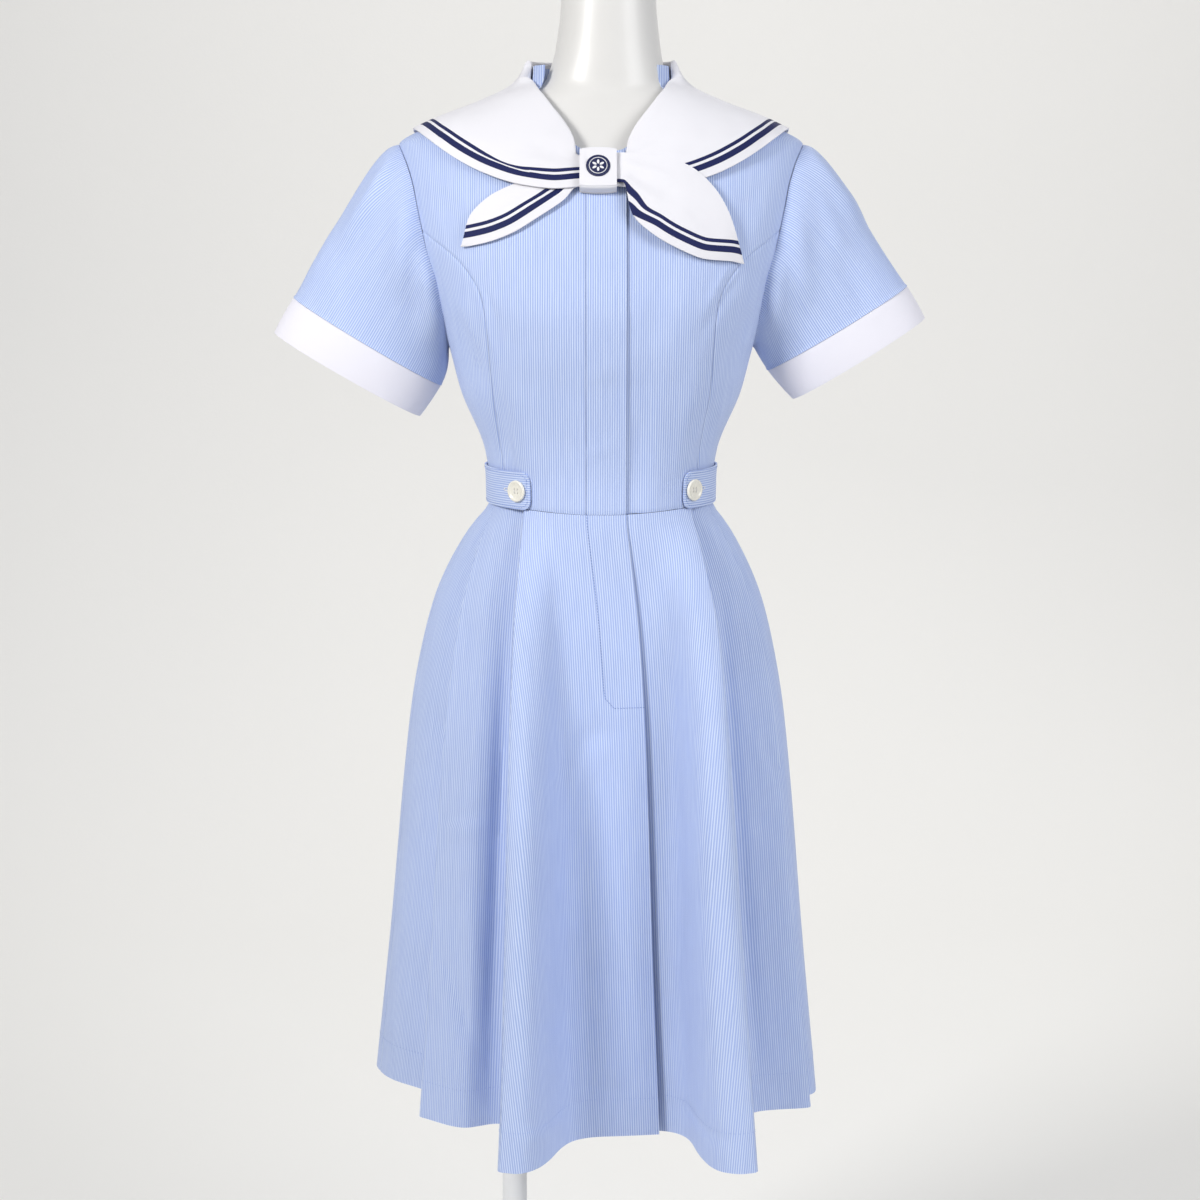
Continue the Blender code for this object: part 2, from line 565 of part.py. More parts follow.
class Dress:
    """Makes the objects of the part in one collection."""

    def __init__(self):
        for old in list(bpy.data.objects):
            bpy.data.objects.remove(old, do_unlink=True)
        self.collection = bpy.data.collections.new("sailor_dress")
        bpy.context.scene.collection.children.link(self.collection)

    def add(self, name, points, faces, finish, wall=0.0, even=True):
        """Add a mesh object. With a wall, the points are its outer face."""
        mesh = bpy.data.meshes.new(name)
        mesh.from_pydata([tuple(point) for point in points], [], faces)
        mesh.validate()
        made = bpy.data.objects.new(name, mesh)
        self.collection.objects.link(made)
        mesh.materials.append(new_material(name, *finish))
        if wall:
            thicken = made.modifiers.new("wall", "SOLIDIFY")
            thicken.thickness = wall
            thicken.offset = -1.0
            thicken.use_even_offset = even
            thicken.use_quality_normals = True
        return made

    def sheet(self, name, grid, finish, wall, closed=False, outward=True, even=True):
        """Add a wall from rows of points. outward tells that rows by columns face outwards."""
        width = len(grid[0])
        points = [point for row in grid for point in row]
        faces = []
        for row in range(len(grid) - 1):
            for column in range(width if closed else width - 1):
                after = (column + 1) % width
                face = (row * width + column, row * width + after,
                        (row + 1) * width + after, (row + 1) * width + column)
                faces.append(face if outward else face[::-1])
        return self.add(name, points, faces, finish, wall, even)

    def rounds(self, name, rings, finish):
        """Add a closed body from level rings, lowest first, with flat ends."""
        width = len(rings[0])
        points = [point for ring in rings for point in ring]
        faces = [tuple(range(width))[::-1]]
        for level in range(len(rings) - 1):
            for column in range(width):
                after = (column + 1) % width
                faces.append((level * width + column, level * width + after,
                              (level + 1) * width + after, (level + 1) * width + column))
        faces.append(tuple(range((len(rings) - 1) * width, len(rings) * width)))
        return self.add(name, points, faces, finish)


def shares(count):
    """Evenly spaced shares from 0 to 1."""
    return [index / count for index in range(count + 1)]


def turns(count):
    """Evenly spaced angles of one whole turn, in radians."""
    return [2.0 * math.pi * index / count for index in range(count)]


def bodice_drop(side, deg):
    """How deep the bodice lies under its outer surface: only the hidden front lap does."""
    if side < 0:
        return 0.0
    return UNDERLAP_DROP * (1.0 - smooth_step(deg, UNDERLAP_START_DEG, UNDERLAP_END_DEG))


def build_bodice(dress):
    """Front centre and side front pieces, and the back in one piece."""
    for side, word in ((-1, "right"), (1, "left")):
        lap = LAP if side < 0 else UNDERLAP
        middle = [Spot(-lap, waist_z(0.0) + SEAM_GAP / 2), Spot(-lap, 1.12), Spot(-lap, 1.24),
                  Spot(-lap, 1.3345)]
        neck = [Spot(-lap, 1.3345), Spot(-lap * 0.5, 1.3318)] + NECKLINE
        seam = Track(spots_track(PRINCESS_SEAM, side))
        princess = [seam.at(t) for t in shares(PRINCESS_ROWS)]
        hole = Track(spots_track(ARMHOLE_HIGH, side))
        high = [hole.at(t) for t in ARMHOLE_ROWS]
        shoulder_out = (side * SIDE_DEG, ARMHOLE_HIGH[-1].z)
        shoulder_in = (side * SIDE_DEG, NECK_POINT_Z)
        front_edge, neck_edge = Track(spots_track(middle, side)), Track(spots_track(neck, side))
        inner = [front_edge.at(t) for t in shares(FRONT_ROWS)]
        inner += [neck_edge.at(t) for t in shares(PRINCESS_ROWS + len(ARMHOLE_ROWS) - FRONT_ROWS)[1:]]
        inner[-1] = shoulder_in
        outer = moved(princess, -side * PRINCESS_GAP / 2) + high
        outer[-1] = shoulder_out
        inner[0] = (inner[0][0], waist_z(inner[0][0]) + SEAM_GAP / 2)
        outer[0] = (outer[0][0], waist_z(outer[0][0]) + SEAM_GAP / 2)
        seam_side = -side * SEAM_GAP / 2
        inner[-1], outer[-1] = moved([inner[-1], outer[-1]], -side * SHOULDER_GAP / 2)
        waist = [inner[0]] + [
            (deg, waist_z(deg) + SEAM_GAP / 2)
            for deg in [inner[0][0] + (outer[0][0] - inner[0][0]) * t for t in shares(FRONT_COLUMNS + 1)[1:-1]]
        ] + [outer[0]]
        patch = (Track(waist), Track([inner[-1], outer[-1]]), Steps(inner), Steps(outer))
        grid = [
            [BODY.point(*place, -bodice_drop(side, place[0]))
             for place in (coons(*patch, u, v) for u in shares(FRONT_COLUMNS))]
            for v in shares(len(outer) - 1)
        ]
        dress.sheet(f"bodice_front_{word}", grid, FABRIC, CLOTH, outward=side > 0)

        inner = moved(princess, side * PRINCESS_GAP / 2)
        low = spots_track(ARMHOLE_LOW, side)
        low[0] = inner[-1]
        inner[0] = (inner[0][0], waist_z(inner[0][0]) + SEAM_GAP / 2)
        side_edge = moved([(side * SIDE_DEG, waist_z(SIDE_DEG) + SEAM_GAP / 2), (side * SIDE_DEG, 1.06),
                           (side * SIDE_DEG, 1.11), (side * SIDE_DEG, ARMHOLE_LOW[-1].z)], seam_side)
        low[-1] = side_edge[-1]
        patch = (Track([inner[0], side_edge[0]]), Track(low), Steps(inner), Track(side_edge))
        grid = [[BODY.point(*coons(*patch, u, v)) for u in shares(SIDE_COLUMNS)] for v in shares(PRINCESS_ROWS)]
        dress.sheet(f"bodice_side_{word}", grid, FABRIC, CLOTH, outward=side > 0)

    halves = []
    for side in (1, -1):
        middle = [(side * BACK_DEG, waist_z(BACK_DEG) + SEAM_GAP / 2), (side * BACK_DEG, 1.13),
                  (side * BACK_DEG, 1.25), (side * BACK_DEG, BACK_NECKLINE[0].z)]
        neck = spots_track(BACK_NECKLINE, side, back=True)
        neck[-1] = moved([(side * SIDE_DEG, NECK_POINT_Z)], side * SHOULDER_GAP / 2)[0]
        outer = [(side * SIDE_DEG, waist_z(SIDE_DEG) + SEAM_GAP / 2), (side * SIDE_DEG, 1.06),
                 (side * SIDE_DEG, 1.11), (side * SIDE_DEG, ARMHOLE_LOW[-1].z)]
        outer = moved(outer, side * SEAM_GAP / 2)
        hole = spots_track(ARMHOLE_LOW, side, back=True)[::-1] + spots_track(ARMHOLE_HIGH, side, back=True)[1:]
        hole[-1] = moved([(side * SIDE_DEG, ARMHOLE_HIGH[-1].z)], side * SHOULDER_GAP / 2)[0]
        inner = Track(middle + neck[1:])
        split = Track(middle).length / inner.length
        rows = [t * split for t in shares(BACK_ROWS)]
        rows += [split + (1.0 - split) * t for t in shares(BACK_NECK_ROWS)[1:]]
        outer = Track(outer + hole[1:])
        patch = (Track([inner.at(0.0), outer.at(0.0)]), Track([inner.at(1.0), outer.at(1.0)]), inner, outer)
        halves.append([[BODY.point(*coons(*patch, u, v)) for u in shares(BACK_COLUMNS)] for v in rows])
    points, faces, index = [], [], {}
    for half, grid in enumerate(halves):
        for row, line in enumerate(grid):
            for column, point in enumerate(line):
                shared = column == 0 and row <= BACK_ROWS
                key = (row, column) if shared else (row, column, half)
                if key not in index:
                    index[key] = len(points)
                    points.append(point)
                grid[row][column] = index[key]
        for row in range(len(grid) - 1):
            for column in range(len(grid[0]) - 1):
                face = (grid[row][column], grid[row][column + 1],
                        grid[row + 1][column + 1], grid[row + 1][column])
                faces.append(face[::-1] if half == 0 else face)
    dress.add("bodice_back", points, faces, FABRIC, CLOTH)


def waist_place(fold):
    """Where a fold starts: on the waist seam, under the outer cloth by its layer."""
    place = BODY.raw(fold.deg, WAIST_Z)
    inward = BODY.normal(fold.deg, 1.020)
    inward.z = 0.0
    return place - inward.normalized() * fold.layer


def skirt_line(first, last, share):
    """One level line of the skirt between two folds of the ring: rounded through its folds."""
    bloom = table_curve(BLOOM, "z", "share")
    corners = []
    for fold in FOLDS:
        z = waist_z(fold.deg) - SEAM_GAP / 2
        z = z + (HEM_Z - z) * (1.0 - share)
        delay = 1.0 + FRONT_DELAY * abs(math.cos(math.radians(fold.deg)))
        travel = bloom(min(z, WAIST_Z) + (WAIST_Z - waist_z(fold.deg)) * share) ** delay
        start = waist_place(fold)
        corners.append(Vector((
            start.x + (fold.hem_x - start.x) * travel,
            start.y + (fold.hem_y - start.y) * travel, z,
        )))
    line = []
    for index in range(first, last + 1):
        here = corners[index]
        free_edge = index in (0, len(corners) - 1)
        line.append(here if free_edge else here * 0.75 + (corners[index - 1] + corners[index + 1]) * 0.125)
        if index < last:
            fold, following = FOLDS[index], FOLDS[index + 1]
            if math.hypot(following.hem_x - fold.hem_x, following.hem_y - fold.hem_y) > WIDE_FOLD:
                line.append((here + corners[index + 1]) / 2)
    return line


def trimmed(line, start, end):
    """The line, shortened by a length at each end."""
    line = [point.copy() for point in line]
    if start:
        line[0] += (line[1] - line[0]).normalized() * start
    if end:
        line[-1] += (line[-2] - line[-1]).normalized() * end
    return line


def build_skirt(dress):
    """Two front pieces and the back, which meet at the side seams."""
    left_seam = len(LEFT_FRONT) - 1
    right_seam = left_seam + len(BACK) + 1
    half_gap = SIDE_SEAM_TRIM
    pieces = (
        ("skirt_front_left", 0, left_seam, 0.0, half_gap),
        ("skirt_back", left_seam, right_seam, half_gap, half_gap),
        ("skirt_front_right", right_seam, len(FOLDS) - 1, half_gap, 0.0),
    )
    for name, first, last, start, end in pieces:
        grid = [trimmed(skirt_line(first, last, share), start, end) for share in SKIRT_ROWS]
        dress.sheet(name, grid, FABRIC, CLOTH)


def armhole_ring(side):
    """The armhole as points, from the shoulder by the front and the armpit to the back."""
    front = spots_track(ARMHOLE_HIGH, side)[::-1] + spots_track(ARMHOLE_LOW, side)[1:]
    back = spots_track(ARMHOLE_LOW, side, back=True)[::-1] + spots_track(ARMHOLE_HIGH, side, back=True)[1:]
    track = Track(front + back[1:])
    return [BODY.raw(*track.at(index / SLEEVE_AROUND)) for index in range(SLEEVE_AROUND)]


def build_sleeves(dress):
    """Set-in sleeves from the armhole to the cuff seam, and the cuffs."""
    for cuff in CUFFS:
        side = cuff.side
        word = "left" if side > 0 else "right"
        outer = Vector((side * cuff.outer_x, 0.0, cuff.outer_z))
        inner = Vector((side * cuff.inner_x, 0.0, cuff.inner_z))
        hem_outer = Vector((side * cuff.hem_outer_x, 0.0, cuff.hem_outer_z))
        hem_inner = Vector((side * cuff.hem_inner_x, 0.0, cuff.hem_inner_z))
        axis = ((hem_outer + hem_inner) - (outer + inner)).normalized()
        ring = armhole_ring(side)
        middle = sum(ring, Vector()) / len(ring)
        grid = [[] for _ in range(SLEEVE_ALONG + 1)]
        seam_line, cuff_line = [], []
        for index, start in enumerate(ring):
            turn = 2.0 * math.pi * index / SLEEVE_AROUND
            ahead = Vector((0.0, -CUFF_DEPTH * math.sin(turn), 0.0))
            end = (outer + inner) / 2 + (outer - inner) / 2 * math.cos(turn) + ahead
            hem = (hem_outer + hem_inner) / 2 + (hem_outer - hem_inner) / 2 * math.cos(turn)
            hem += ahead * HEM_DEPTH_SHARE
            spread = (start - middle).normalized()
            lead = (axis * LEAD_AXIS + Vector((side * LEAD_SIDE, 0.0, 0.0)) + spread * LEAD_SPREAD).normalized()
            start = start + lead * ARMHOLE_GAP
            reach = (end - start).length
            near = start + lead * min(CAP_LENGTH, reach * CAP_SHARE)
            far = end - axis * reach * CUFF_SHARE
            for row, t in enumerate(shares(SLEEVE_ALONG)):
                rest = 1.0 - t
                grid[row].append(start * rest ** 3 + near * 3 * rest * rest * t
                                 + far * 3 * rest * t * t + end * t ** 3)
            seam_line.append(end + axis * SEAM_GAP)
            cuff_line.append(hem)
        dress.sheet(f"sleeve_{word}", grid, FABRIC, CLOTH, closed=True, outward=side > 0)
        middle_line = [(a + b) / 2 for a, b in zip(seam_line, cuff_line)]
        dress.sheet(f"cuff_{word}", [seam_line, middle_line, cuff_line], COLLAR_FABRIC, DOUBLED,
                    closed=True, outward=side > 0)


def height_at(places, deg):
    """The height of a line at an angle, where its angles only grow or shrink away from 0."""
    heights = sorted((abs(place[0]), place[1]) for place in places)
    for (deg_a, z_a), (deg_b, z_b) in zip(heights, heights[1:]):
        if abs(deg) <= deg_b:
            return z_a + (z_b - z_a) * max(abs(deg) - deg_a, 0.0) / max(deg_b - deg_a, 1e-6)
    return heights[-1][1]


def collar_ease(deg, z, curves, side):
    """How far the collar's fall stands off: to front and back, and to the sides."""
    front, across = curves[0](z), curves[1](z)
    if abs(deg) < SIDE_DEG:
        near = RIGHT_KNOT_EASE if side < 0 else LEFT_KNOT_EASE
        front = near + (front - near) * smooth_step(abs(BODY.raw(deg, z).x), KNOT_START, KNOT_END)
    return front, across


def build_collar(dress):
    """The sailor collar in one piece: stand, roll and fall, with a square flap at the back."""
    curves = (table_curve(COLLAR_EASE, "z", "front"), table_curve(COLLAR_EASE, "z", "side"))
    columns = []
    for side in (-1, 1):
        half = []
        roll = Track(spots_track(ROLL_FRONT, side))
        edge = Track(spots_track(LAPEL_EDGE, side))
        neck = spots_track(NECKLINE, side)
        for t in shares(LAPEL_COLUMNS):
            half.append((roll.at(t), edge.at(t), height_at(neck, roll.at(t)[0])))
        half_back = (SIDE_DEG + BACK_DEG) / 2
        roll = Track([(side * deg, STAND_TOP_Z) for deg in (SIDE_DEG, half_back, BACK_DEG)])
        edge = Track(spots_track(FLAP_EDGE, side, back=True)[:-1] + spots_track(FLAP_BOTTOM, side, back=True))
        corner = Track(spots_track(FLAP_EDGE, side, back=True)).length / edge.length
        neck = spots_track(BACK_NECKLINE, side, back=True)[::-1]
        places = [corner * t for t in shares(SHOULDER_COLUMNS)[1:]]
        places += [corner + (1.0 - corner) * t for t in shares(FLAP_COLUMNS)[1:]]
        for order, t in enumerate(places):
            share = (order + 1) / len(places)
            half.append((roll.at(share), edge.at(t), height_at(neck, roll.at(share)[0])))
        columns.append((side, half))
    lines = []
    right_side, right = columns[0]
    left_side, left = columns[1]
    for side, column in [(right_side, c) for c in right] + [(left_side, c) for c in left[::-1][1:]]:
        (roll_deg, roll_z), (edge_deg, edge_z), neck_z = column
        ease = collar_ease(roll_deg, roll_z, curves, side)
        nearness = 1.0 - smooth_step(
            abs(BODY.raw(roll_deg, roll_z).x), KEEPER_SIDE_START, KEEPER_SIDE_END)
        stand_out = STAND_OUT + KEEPER_STAND_OUT * nearness * (abs(roll_deg) < SIDE_DEG)
        roll = BODY.raw(roll_deg, roll_z)
        onward = BODY.raw(roll_deg + (edge_deg - roll_deg) * FALL_LEAD, roll_z + (edge_z - roll_z) * FALL_LEAD)
        down = (onward - roll).normalized()
        out = BODY.raw(roll_deg, roll_z, ease) - roll
        ahead = out - down * out.dot(down)
        width = max(ahead.length, ROLL_WIDTH)
        ahead.normalize()
        height = max(roll_z - neck_z - STAND_LIFT, STAND_HEIGHT)
        line = [roll + down * height + ahead * stand_out, roll + down * ROLL_HEIGHT + ahead * stand_out]
        for share, below in ROLL_STEPS:
            line.append(roll + down * below + ahead * (stand_out + (width - stand_out) * share))
        for t in FALL_ROWS:
            deg, z = roll_deg + (edge_deg - roll_deg) * t, roll_z + (edge_z - roll_z) * t
            line.append(BODY.raw(deg, z, collar_ease(deg, z, curves, side)))
        lines.append(line)
    dress.sheet("collar", lines, COLLAR_FABRIC, DOUBLED, outward=False, even=False)

    ring = []
    for z_share in shares(2):
        row = []
        for deg in range(-FACING_TURN, FACING_TURN + 1, FACING_STEP):
            around = BACK_DEG + deg
            low = FACING_SIDE_Z + (FACING_BACK_Z - FACING_SIDE_Z) * math.cos(math.radians(deg * 0.75))
            z = low + (STAND_TOP_Z - FACING_TOP_GAP - low) * z_share
            row.append(BODY.raw(around, z, (-FACING_IN, -FACING_IN)))
        ring.append(row)
    dress.sheet("neck_facing", ring, FABRIC, CLOTH)


def build_tie(dress):
    """The two tails and the keeper loop that holds them and the lapels."""
    for side, name, stations in ((-1, "tie_tail_right", RIGHT_TAIL), (1, "tie_tail_left", LEFT_TAIL)):
        knots = range(len(stations))
        curves = [Smooth(knots, [getattr(station, field) for station in stations]) for field in Station._fields]
        grid = []
        for step in range(2 * len(stations) - 1):
            place = step / 2
            top_x, top_z, low_x, low_z, out = (curve(place) for curve in curves)
            row = []
            for t in shares(4):
                x, z = low_x + (top_x - low_x) * t, low_z + (top_z - low_z) * t
                row.append(BODY.point(side * BODY.turn_at(x, z), z, out))
            grid.append(row)
        dress.sheet(name, grid, COLLAR_FABRIC, DOUBLED, outward=side < 0)

    centre = BODY.point(KEEPER_DEG, KEEPER_Z)
    out = BODY.normal(0.0, KEEPER_Z)
    up = Vector((1.0, 0.0, 0.0)).cross(out)
    up = -up if up.z < 0 else up
    half, near, far, corner = KEEPER_HALF_HEIGHT, KEEPER_NEAR, KEEPER_FAR, KEEPER_CORNER
    back, front = KEEPER_BACK_ROUND, KEEPER_FRONT_ROUND
    outline = [
        (-half + corner, near), (half - corner, near), (half - back, near + back), (half, near + corner),
        (half, far - corner), (half - front, far - front), (half - corner, far), (0.0, far + KEEPER_SWELL),
        (-half + corner, far), (-half + front, far - front), (-half, far - corner), (-half, near + corner),
        (-half + back, near + back),
    ]
    grid = []
    for x, pinch in KEEPER_ROWS:
        middle = centre + Vector((x, 0.0, 0.0))
        grid.append([middle + up * (along * pinch) + out * away for along, away in outline])
    dress.sheet("tie_keeper", grid, COLLAR_FABRIC, CLOTH, closed=True, outward=True)


def belt_middle(deg):
    """Height of the half belt's middle line at an angle."""
    return BELT_SIDE_Z - (BELT_SIDE_Z - BELT_FRONT_Z) * max(math.cos(math.radians(deg)), 0.0) ** 1.5


def build_belt(dress):
    """The half belt from front button to front button round the back, and the buttons."""
    span = 360.0 - BELT_LEFT_DEG - BELT_RIGHT_DEG
    grid = []
    for step in range(BELT_STEPS + 1):
        deg = BELT_LEFT_DEG + span * step / BELT_STEPS
        end = min(step, BELT_STEPS - step)
        narrow = BELT_TAPER[end] if end < len(BELT_TAPER) else 1.0
        if end == 1:
            deg = BELT_LEFT_DEG + BELT_TIP_DEG if step == 1 else 360.0 - BELT_RIGHT_DEG - BELT_TIP_DEG
        z = belt_middle(deg)
        grid.append([
            BODY.point(deg, z + BELT_HEIGHT * narrow * level, BELT_OUT) for level in BELT_ROWS
        ])
    dress.sheet("half_belt", grid, FABRIC, DOUBLED, outward=False)
    for deg, word in ((-BUTTON_RIGHT_DEG, "right"), (BUTTON_LEFT_DEG, "left")):
        z = belt_middle(deg) - BUTTON_DROP
        out = BODY.normal(deg, z)
        across = Vector((0.0, 0.0, 1.0)).cross(out).normalized()
        up = out.cross(across)
        centre = BODY.point(deg, z, BELT_OUT + BUTTON_GAP)
        rings = []
        for level, size in BUTTON_EDGES:
            rings.append([
                centre + out * BUTTON_THICKNESS * level
                + (across * math.cos(turn) + up * math.sin(turn)) * BUTTON_RADIUS * size
                for turn in turns(BUTTON_AROUND)
            ])
        dress.rounds(f"button_{word}", rings, (BUTTON_WHITE, 0.35))


def form_ring(section):
    """One level ring of the dress form below the waist or above the shoulders."""
    ring = []
    for index in range(FORM_AROUND):
        x, y = BODY.ring(360.0 * index / FORM_AROUND, section.half, section.front, section.back,
                         FORM_ROUND, FORM_ROUND)
        ring.append(Vector((x + section.shift, y, section.z)))
    return ring


def build_stand(dress):
    """The dress form, its pole and the base."""
    drop = table_curve(FORM_DROP, "z", "drop")
    rings = [form_ring(section) for section in FORM_HIPS]
    for z in FORM_LEVELS:
        ring = []
        for index in range(FORM_AROUND):
            deg = 360.0 * index / FORM_AROUND
            front = FRONT_DROP * max(math.cos(math.radians(deg)), 0.0) ** FRONT_DROP_POWER
            ring.append(BODY.point(deg, z, -drop(z) - front))
        rings.append(ring)
    rings += [form_ring(section) for section in FORM_NECK]
    dress.rounds("dress_form", rings, (FORM_WHITE, 0.35))

    pole = [[Vector((POLE_X + POLE_RADIUS * math.cos(a), POLE_RADIUS * math.sin(a), z))
             for a in turns(POLE_AROUND)] for z in (BASE_THICKNESS + SEAM_GAP, POLE_TOP_Z)]
    dress.rounds("pole", pole, (FORM_WHITE, 0.3))
    base = [[Vector((radius * math.cos(a), radius * math.sin(a), z)) for a in turns(BASE_AROUND)]
            for z, radius in ((0.0, BASE_RADIUS), (BASE_THICKNESS - BASE_BEVEL, BASE_RADIUS),
                              (BASE_THICKNESS, BASE_RADIUS - BASE_BEVEL))]
    dress.rounds("base", base, (FORM_WHITE, 0.4))


def main():
    dress = Dress()
    build_bodice(dress)
    build_skirt(dress)
    build_sleeves(dress)
    build_collar(dress)
    build_tie(dress)
    build_belt(dress)
    build_stand(dress)


main()
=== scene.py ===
"""Looks of a short-sleeved sailor dress on a limbless dress form.

Every piece is built again, finer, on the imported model's own surfaces, with its creases, seams,
sewing and finish. Metres, +Z up, +X the wearer's left, -Y the front.
"""

import logging
import math
from collections.abc import Callable, Iterable, Sequence
from dataclasses import dataclass, field
from enum import Enum

import bpy
import numpy as np
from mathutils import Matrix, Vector

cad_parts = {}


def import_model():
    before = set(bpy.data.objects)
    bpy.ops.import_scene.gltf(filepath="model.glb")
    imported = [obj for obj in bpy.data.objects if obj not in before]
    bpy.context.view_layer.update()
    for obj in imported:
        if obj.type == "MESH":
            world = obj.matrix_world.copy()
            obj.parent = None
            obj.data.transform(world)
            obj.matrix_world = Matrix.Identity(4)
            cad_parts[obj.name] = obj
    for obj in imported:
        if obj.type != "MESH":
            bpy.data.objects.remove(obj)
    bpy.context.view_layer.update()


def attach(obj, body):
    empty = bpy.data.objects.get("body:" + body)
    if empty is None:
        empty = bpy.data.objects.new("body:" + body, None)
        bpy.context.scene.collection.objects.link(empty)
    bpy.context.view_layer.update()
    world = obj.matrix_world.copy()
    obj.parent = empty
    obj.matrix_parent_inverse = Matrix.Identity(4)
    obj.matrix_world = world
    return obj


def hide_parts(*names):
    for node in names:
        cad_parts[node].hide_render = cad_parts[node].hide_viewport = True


LOG = logging.getLogger("sailor_dress")
PROFILE = tuple[float, float]
Grid = list[list[Vector]]


class Side(Enum):
    """The wearer's right or left side, by its sign along X."""

    RIGHT = -1
    LEFT = 1

    @property
    def word(self) -> str:
        """The side's name in piece names."""
        return self.name.lower()


class Held(Enum):
    """How a sheet of cloth is held."""

    DRAPED = "draped"
    HUNG = "hung"
    FOLDED = "folded"
    STRETCHED = "stretched"


@dataclass(frozen=True)
class Spot:
    """A place on the front or back view: distance from the middle to the own side, and height."""

    x: float
    z: float


@dataclass(frozen=True)
class Section:
    """A level section of the bodice: half width, depths, and roundness where 2 is an ellipse."""

    z: float
    half: float
    front: float
    back: float
    front_round: float
    back_round: float


@dataclass(frozen=True)
class Fold:
    """A fold line of the skirt: its place and layer on the waist seam, and its end on the hem."""

    name: str
    deg: float
    layer: float
    hem_x: float
    hem_y: float


@dataclass(frozen=True)
class Crease:
    """A soft trough or ridge, pressed along a line seen from the front or back.

    depth is how far it stands out, and below zero how far it sinks in. Its ends fade out.
    """

    name: str
    start: Spot
    end: Spot
    width: float
    depth: float
    back: bool = False


class Smooth:
    """A curve through table values that never overshoots between them."""

    def __init__(self, places: Iterable[float], values: Iterable[float]) -> None:
        self.places = list(places)
        self.values = list(values)
        steps = [b - a for a, b in zip(self.places, self.places[1:])]
        rises = [(b - a) / step for a, b, step in zip(self.values, self.values[1:], steps)]
        self.slopes = [rises[0]]
        for left, right, before, after in zip(rises, rises[1:], steps, steps[1:]):
            if left * right <= 0.0:
                self.slopes.append(0.0)
                continue
            weight_left = 2.0 * after + before
            weight_right = after + 2.0 * before
            total = weight_left + weight_right
            self.slopes.append(total / (weight_left / left + weight_right / right))
        self.slopes.append(rises[-1])

    def __call__(self, place: float) -> float:
        """Read the curve.

        Args:
            place: where to read, held inside the table's range.

        Returns:
            The value there.
        """
        place = min(max(place, self.places[0]), self.places[-1])
        index = 0
        while index < len(self.places) - 2 and place > self.places[index + 1]:
            index += 1
        width = self.places[index + 1] - self.places[index]
        t = (place - self.places[index]) / width
        square, cube = t * t, t * t * t
        return (
            (2.0 * cube - 3.0 * square + 1.0) * self.values[index]
            + (cube - 2.0 * square + t) * width * self.slopes[index]
            + (3.0 * square - 2.0 * cube) * self.values[index + 1]
            + (cube - square) * width * self.slopes[index + 1]
        )


def column(rows: Sequence[object], place: str, value: str) -> Smooth:
    """A Smooth curve over one named field of a table, read by another."""
    return Smooth([getattr(row, place) for row in rows], [getattr(row, value) for row in rows])


def smooth_step(value: float, low: float, high: float) -> float:
    """0 below low, 1 above high, and an even S between."""
    t = min(max((value - low) / (high - low), 0.0), 1.0)
    return t * t * (3.0 - 2.0 * t)


def shares(count: int) -> list[float]:
    """Evenly spaced shares from 0 to 1."""
    return [index / count for index in range(count + 1)]


def edge_shares(count: int, crowd: float = 0.9) -> list[float]:
    """Shares from 0 to 1 that crowd towards both ends, so that seam edges can be rounded."""
    return [t - crowd * math.sin(2.0 * math.pi * t) / (2.0 * math.pi) for t in shares(count)]


def turns(count: int) -> list[float]:
    """Evenly spaced angles of one whole turn, in radians."""
    return [2.0 * math.pi * index / count for index in range(count)]


def rounded_line(points: Sequence[Vector], steps: int, closed: bool = False) -> list[Vector]:
    """Draw a smooth line through points.

    Args:
        points: the points that it passes.
        steps: how many pieces each span gets.
        closed: whether the last point joins the first.

    Returns:
        The finer points, without the repeated first point when closed.
    """
    count = len(points)
    spans = count if closed else count - 1
    line = []
    for index in range(spans):
        here, after = points[index], points[(index + 1) % count]
        before = points[index - 1] if closed or index else here
        last = points[(index + 2) % count] if closed or index + 2 < count else after
        for step in range(steps):
            t = step / steps
            line.append(0.5 * (
                here * 2.0 + (after - before) * t
                + (before * 2.0 - here * 5.0 + after * 4.0 - last) * t * t
                + (here * 3.0 - before - after * 3.0 + last) * t * t * t
            ))
    if not closed:
        line.append(points[-1].copy())
    return line


def run_length(line: Sequence[Vector]) -> float:
    """Length along a line of points."""
    return sum((b - a).length for a, b in zip(line, line[1:]))


def spaced(line: Sequence[Vector], pitch: float) -> list[Vector]:
    """The line again, with its points about one pitch apart."""
    marks = [0.0]
    for a, b in zip(line, line[1:]):
        marks.append(marks[-1] + (b - a).length)
    count = max(int(marks[-1] / pitch), 1)
    result, index = [], 0
    for step in range(count + 1):
        aim = marks[-1] * step / count
        while index < len(marks) - 2 and aim > marks[index + 1]:
            index += 1
        span = marks[index + 1] - marks[index]
        t = (aim - marks[index]) / span if span else 0.0
        result.append(line[index].lerp(line[index + 1], t))
    return result


# Driving sizes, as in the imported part
HEM_Z = 0.420
WAIST_Z = 1.011
WAIST_DIP = 0.005
NECK_POINT_Z = 1.392
STAND_TOP_Z = 1.4165
CLOTH = 0.0011
DOUBLED = 0.0016
SEAM_GAP = 0.0003
LAP = 0.0225
UNDERLAP = 0.0135
UNDERLAP_DROP = 0.0030
UNDERLAP_START_DEG = 16.0
UNDERLAP_END_DEG = 26.0
SIDE_DEG = 90.0
BACK_DEG = 180.0

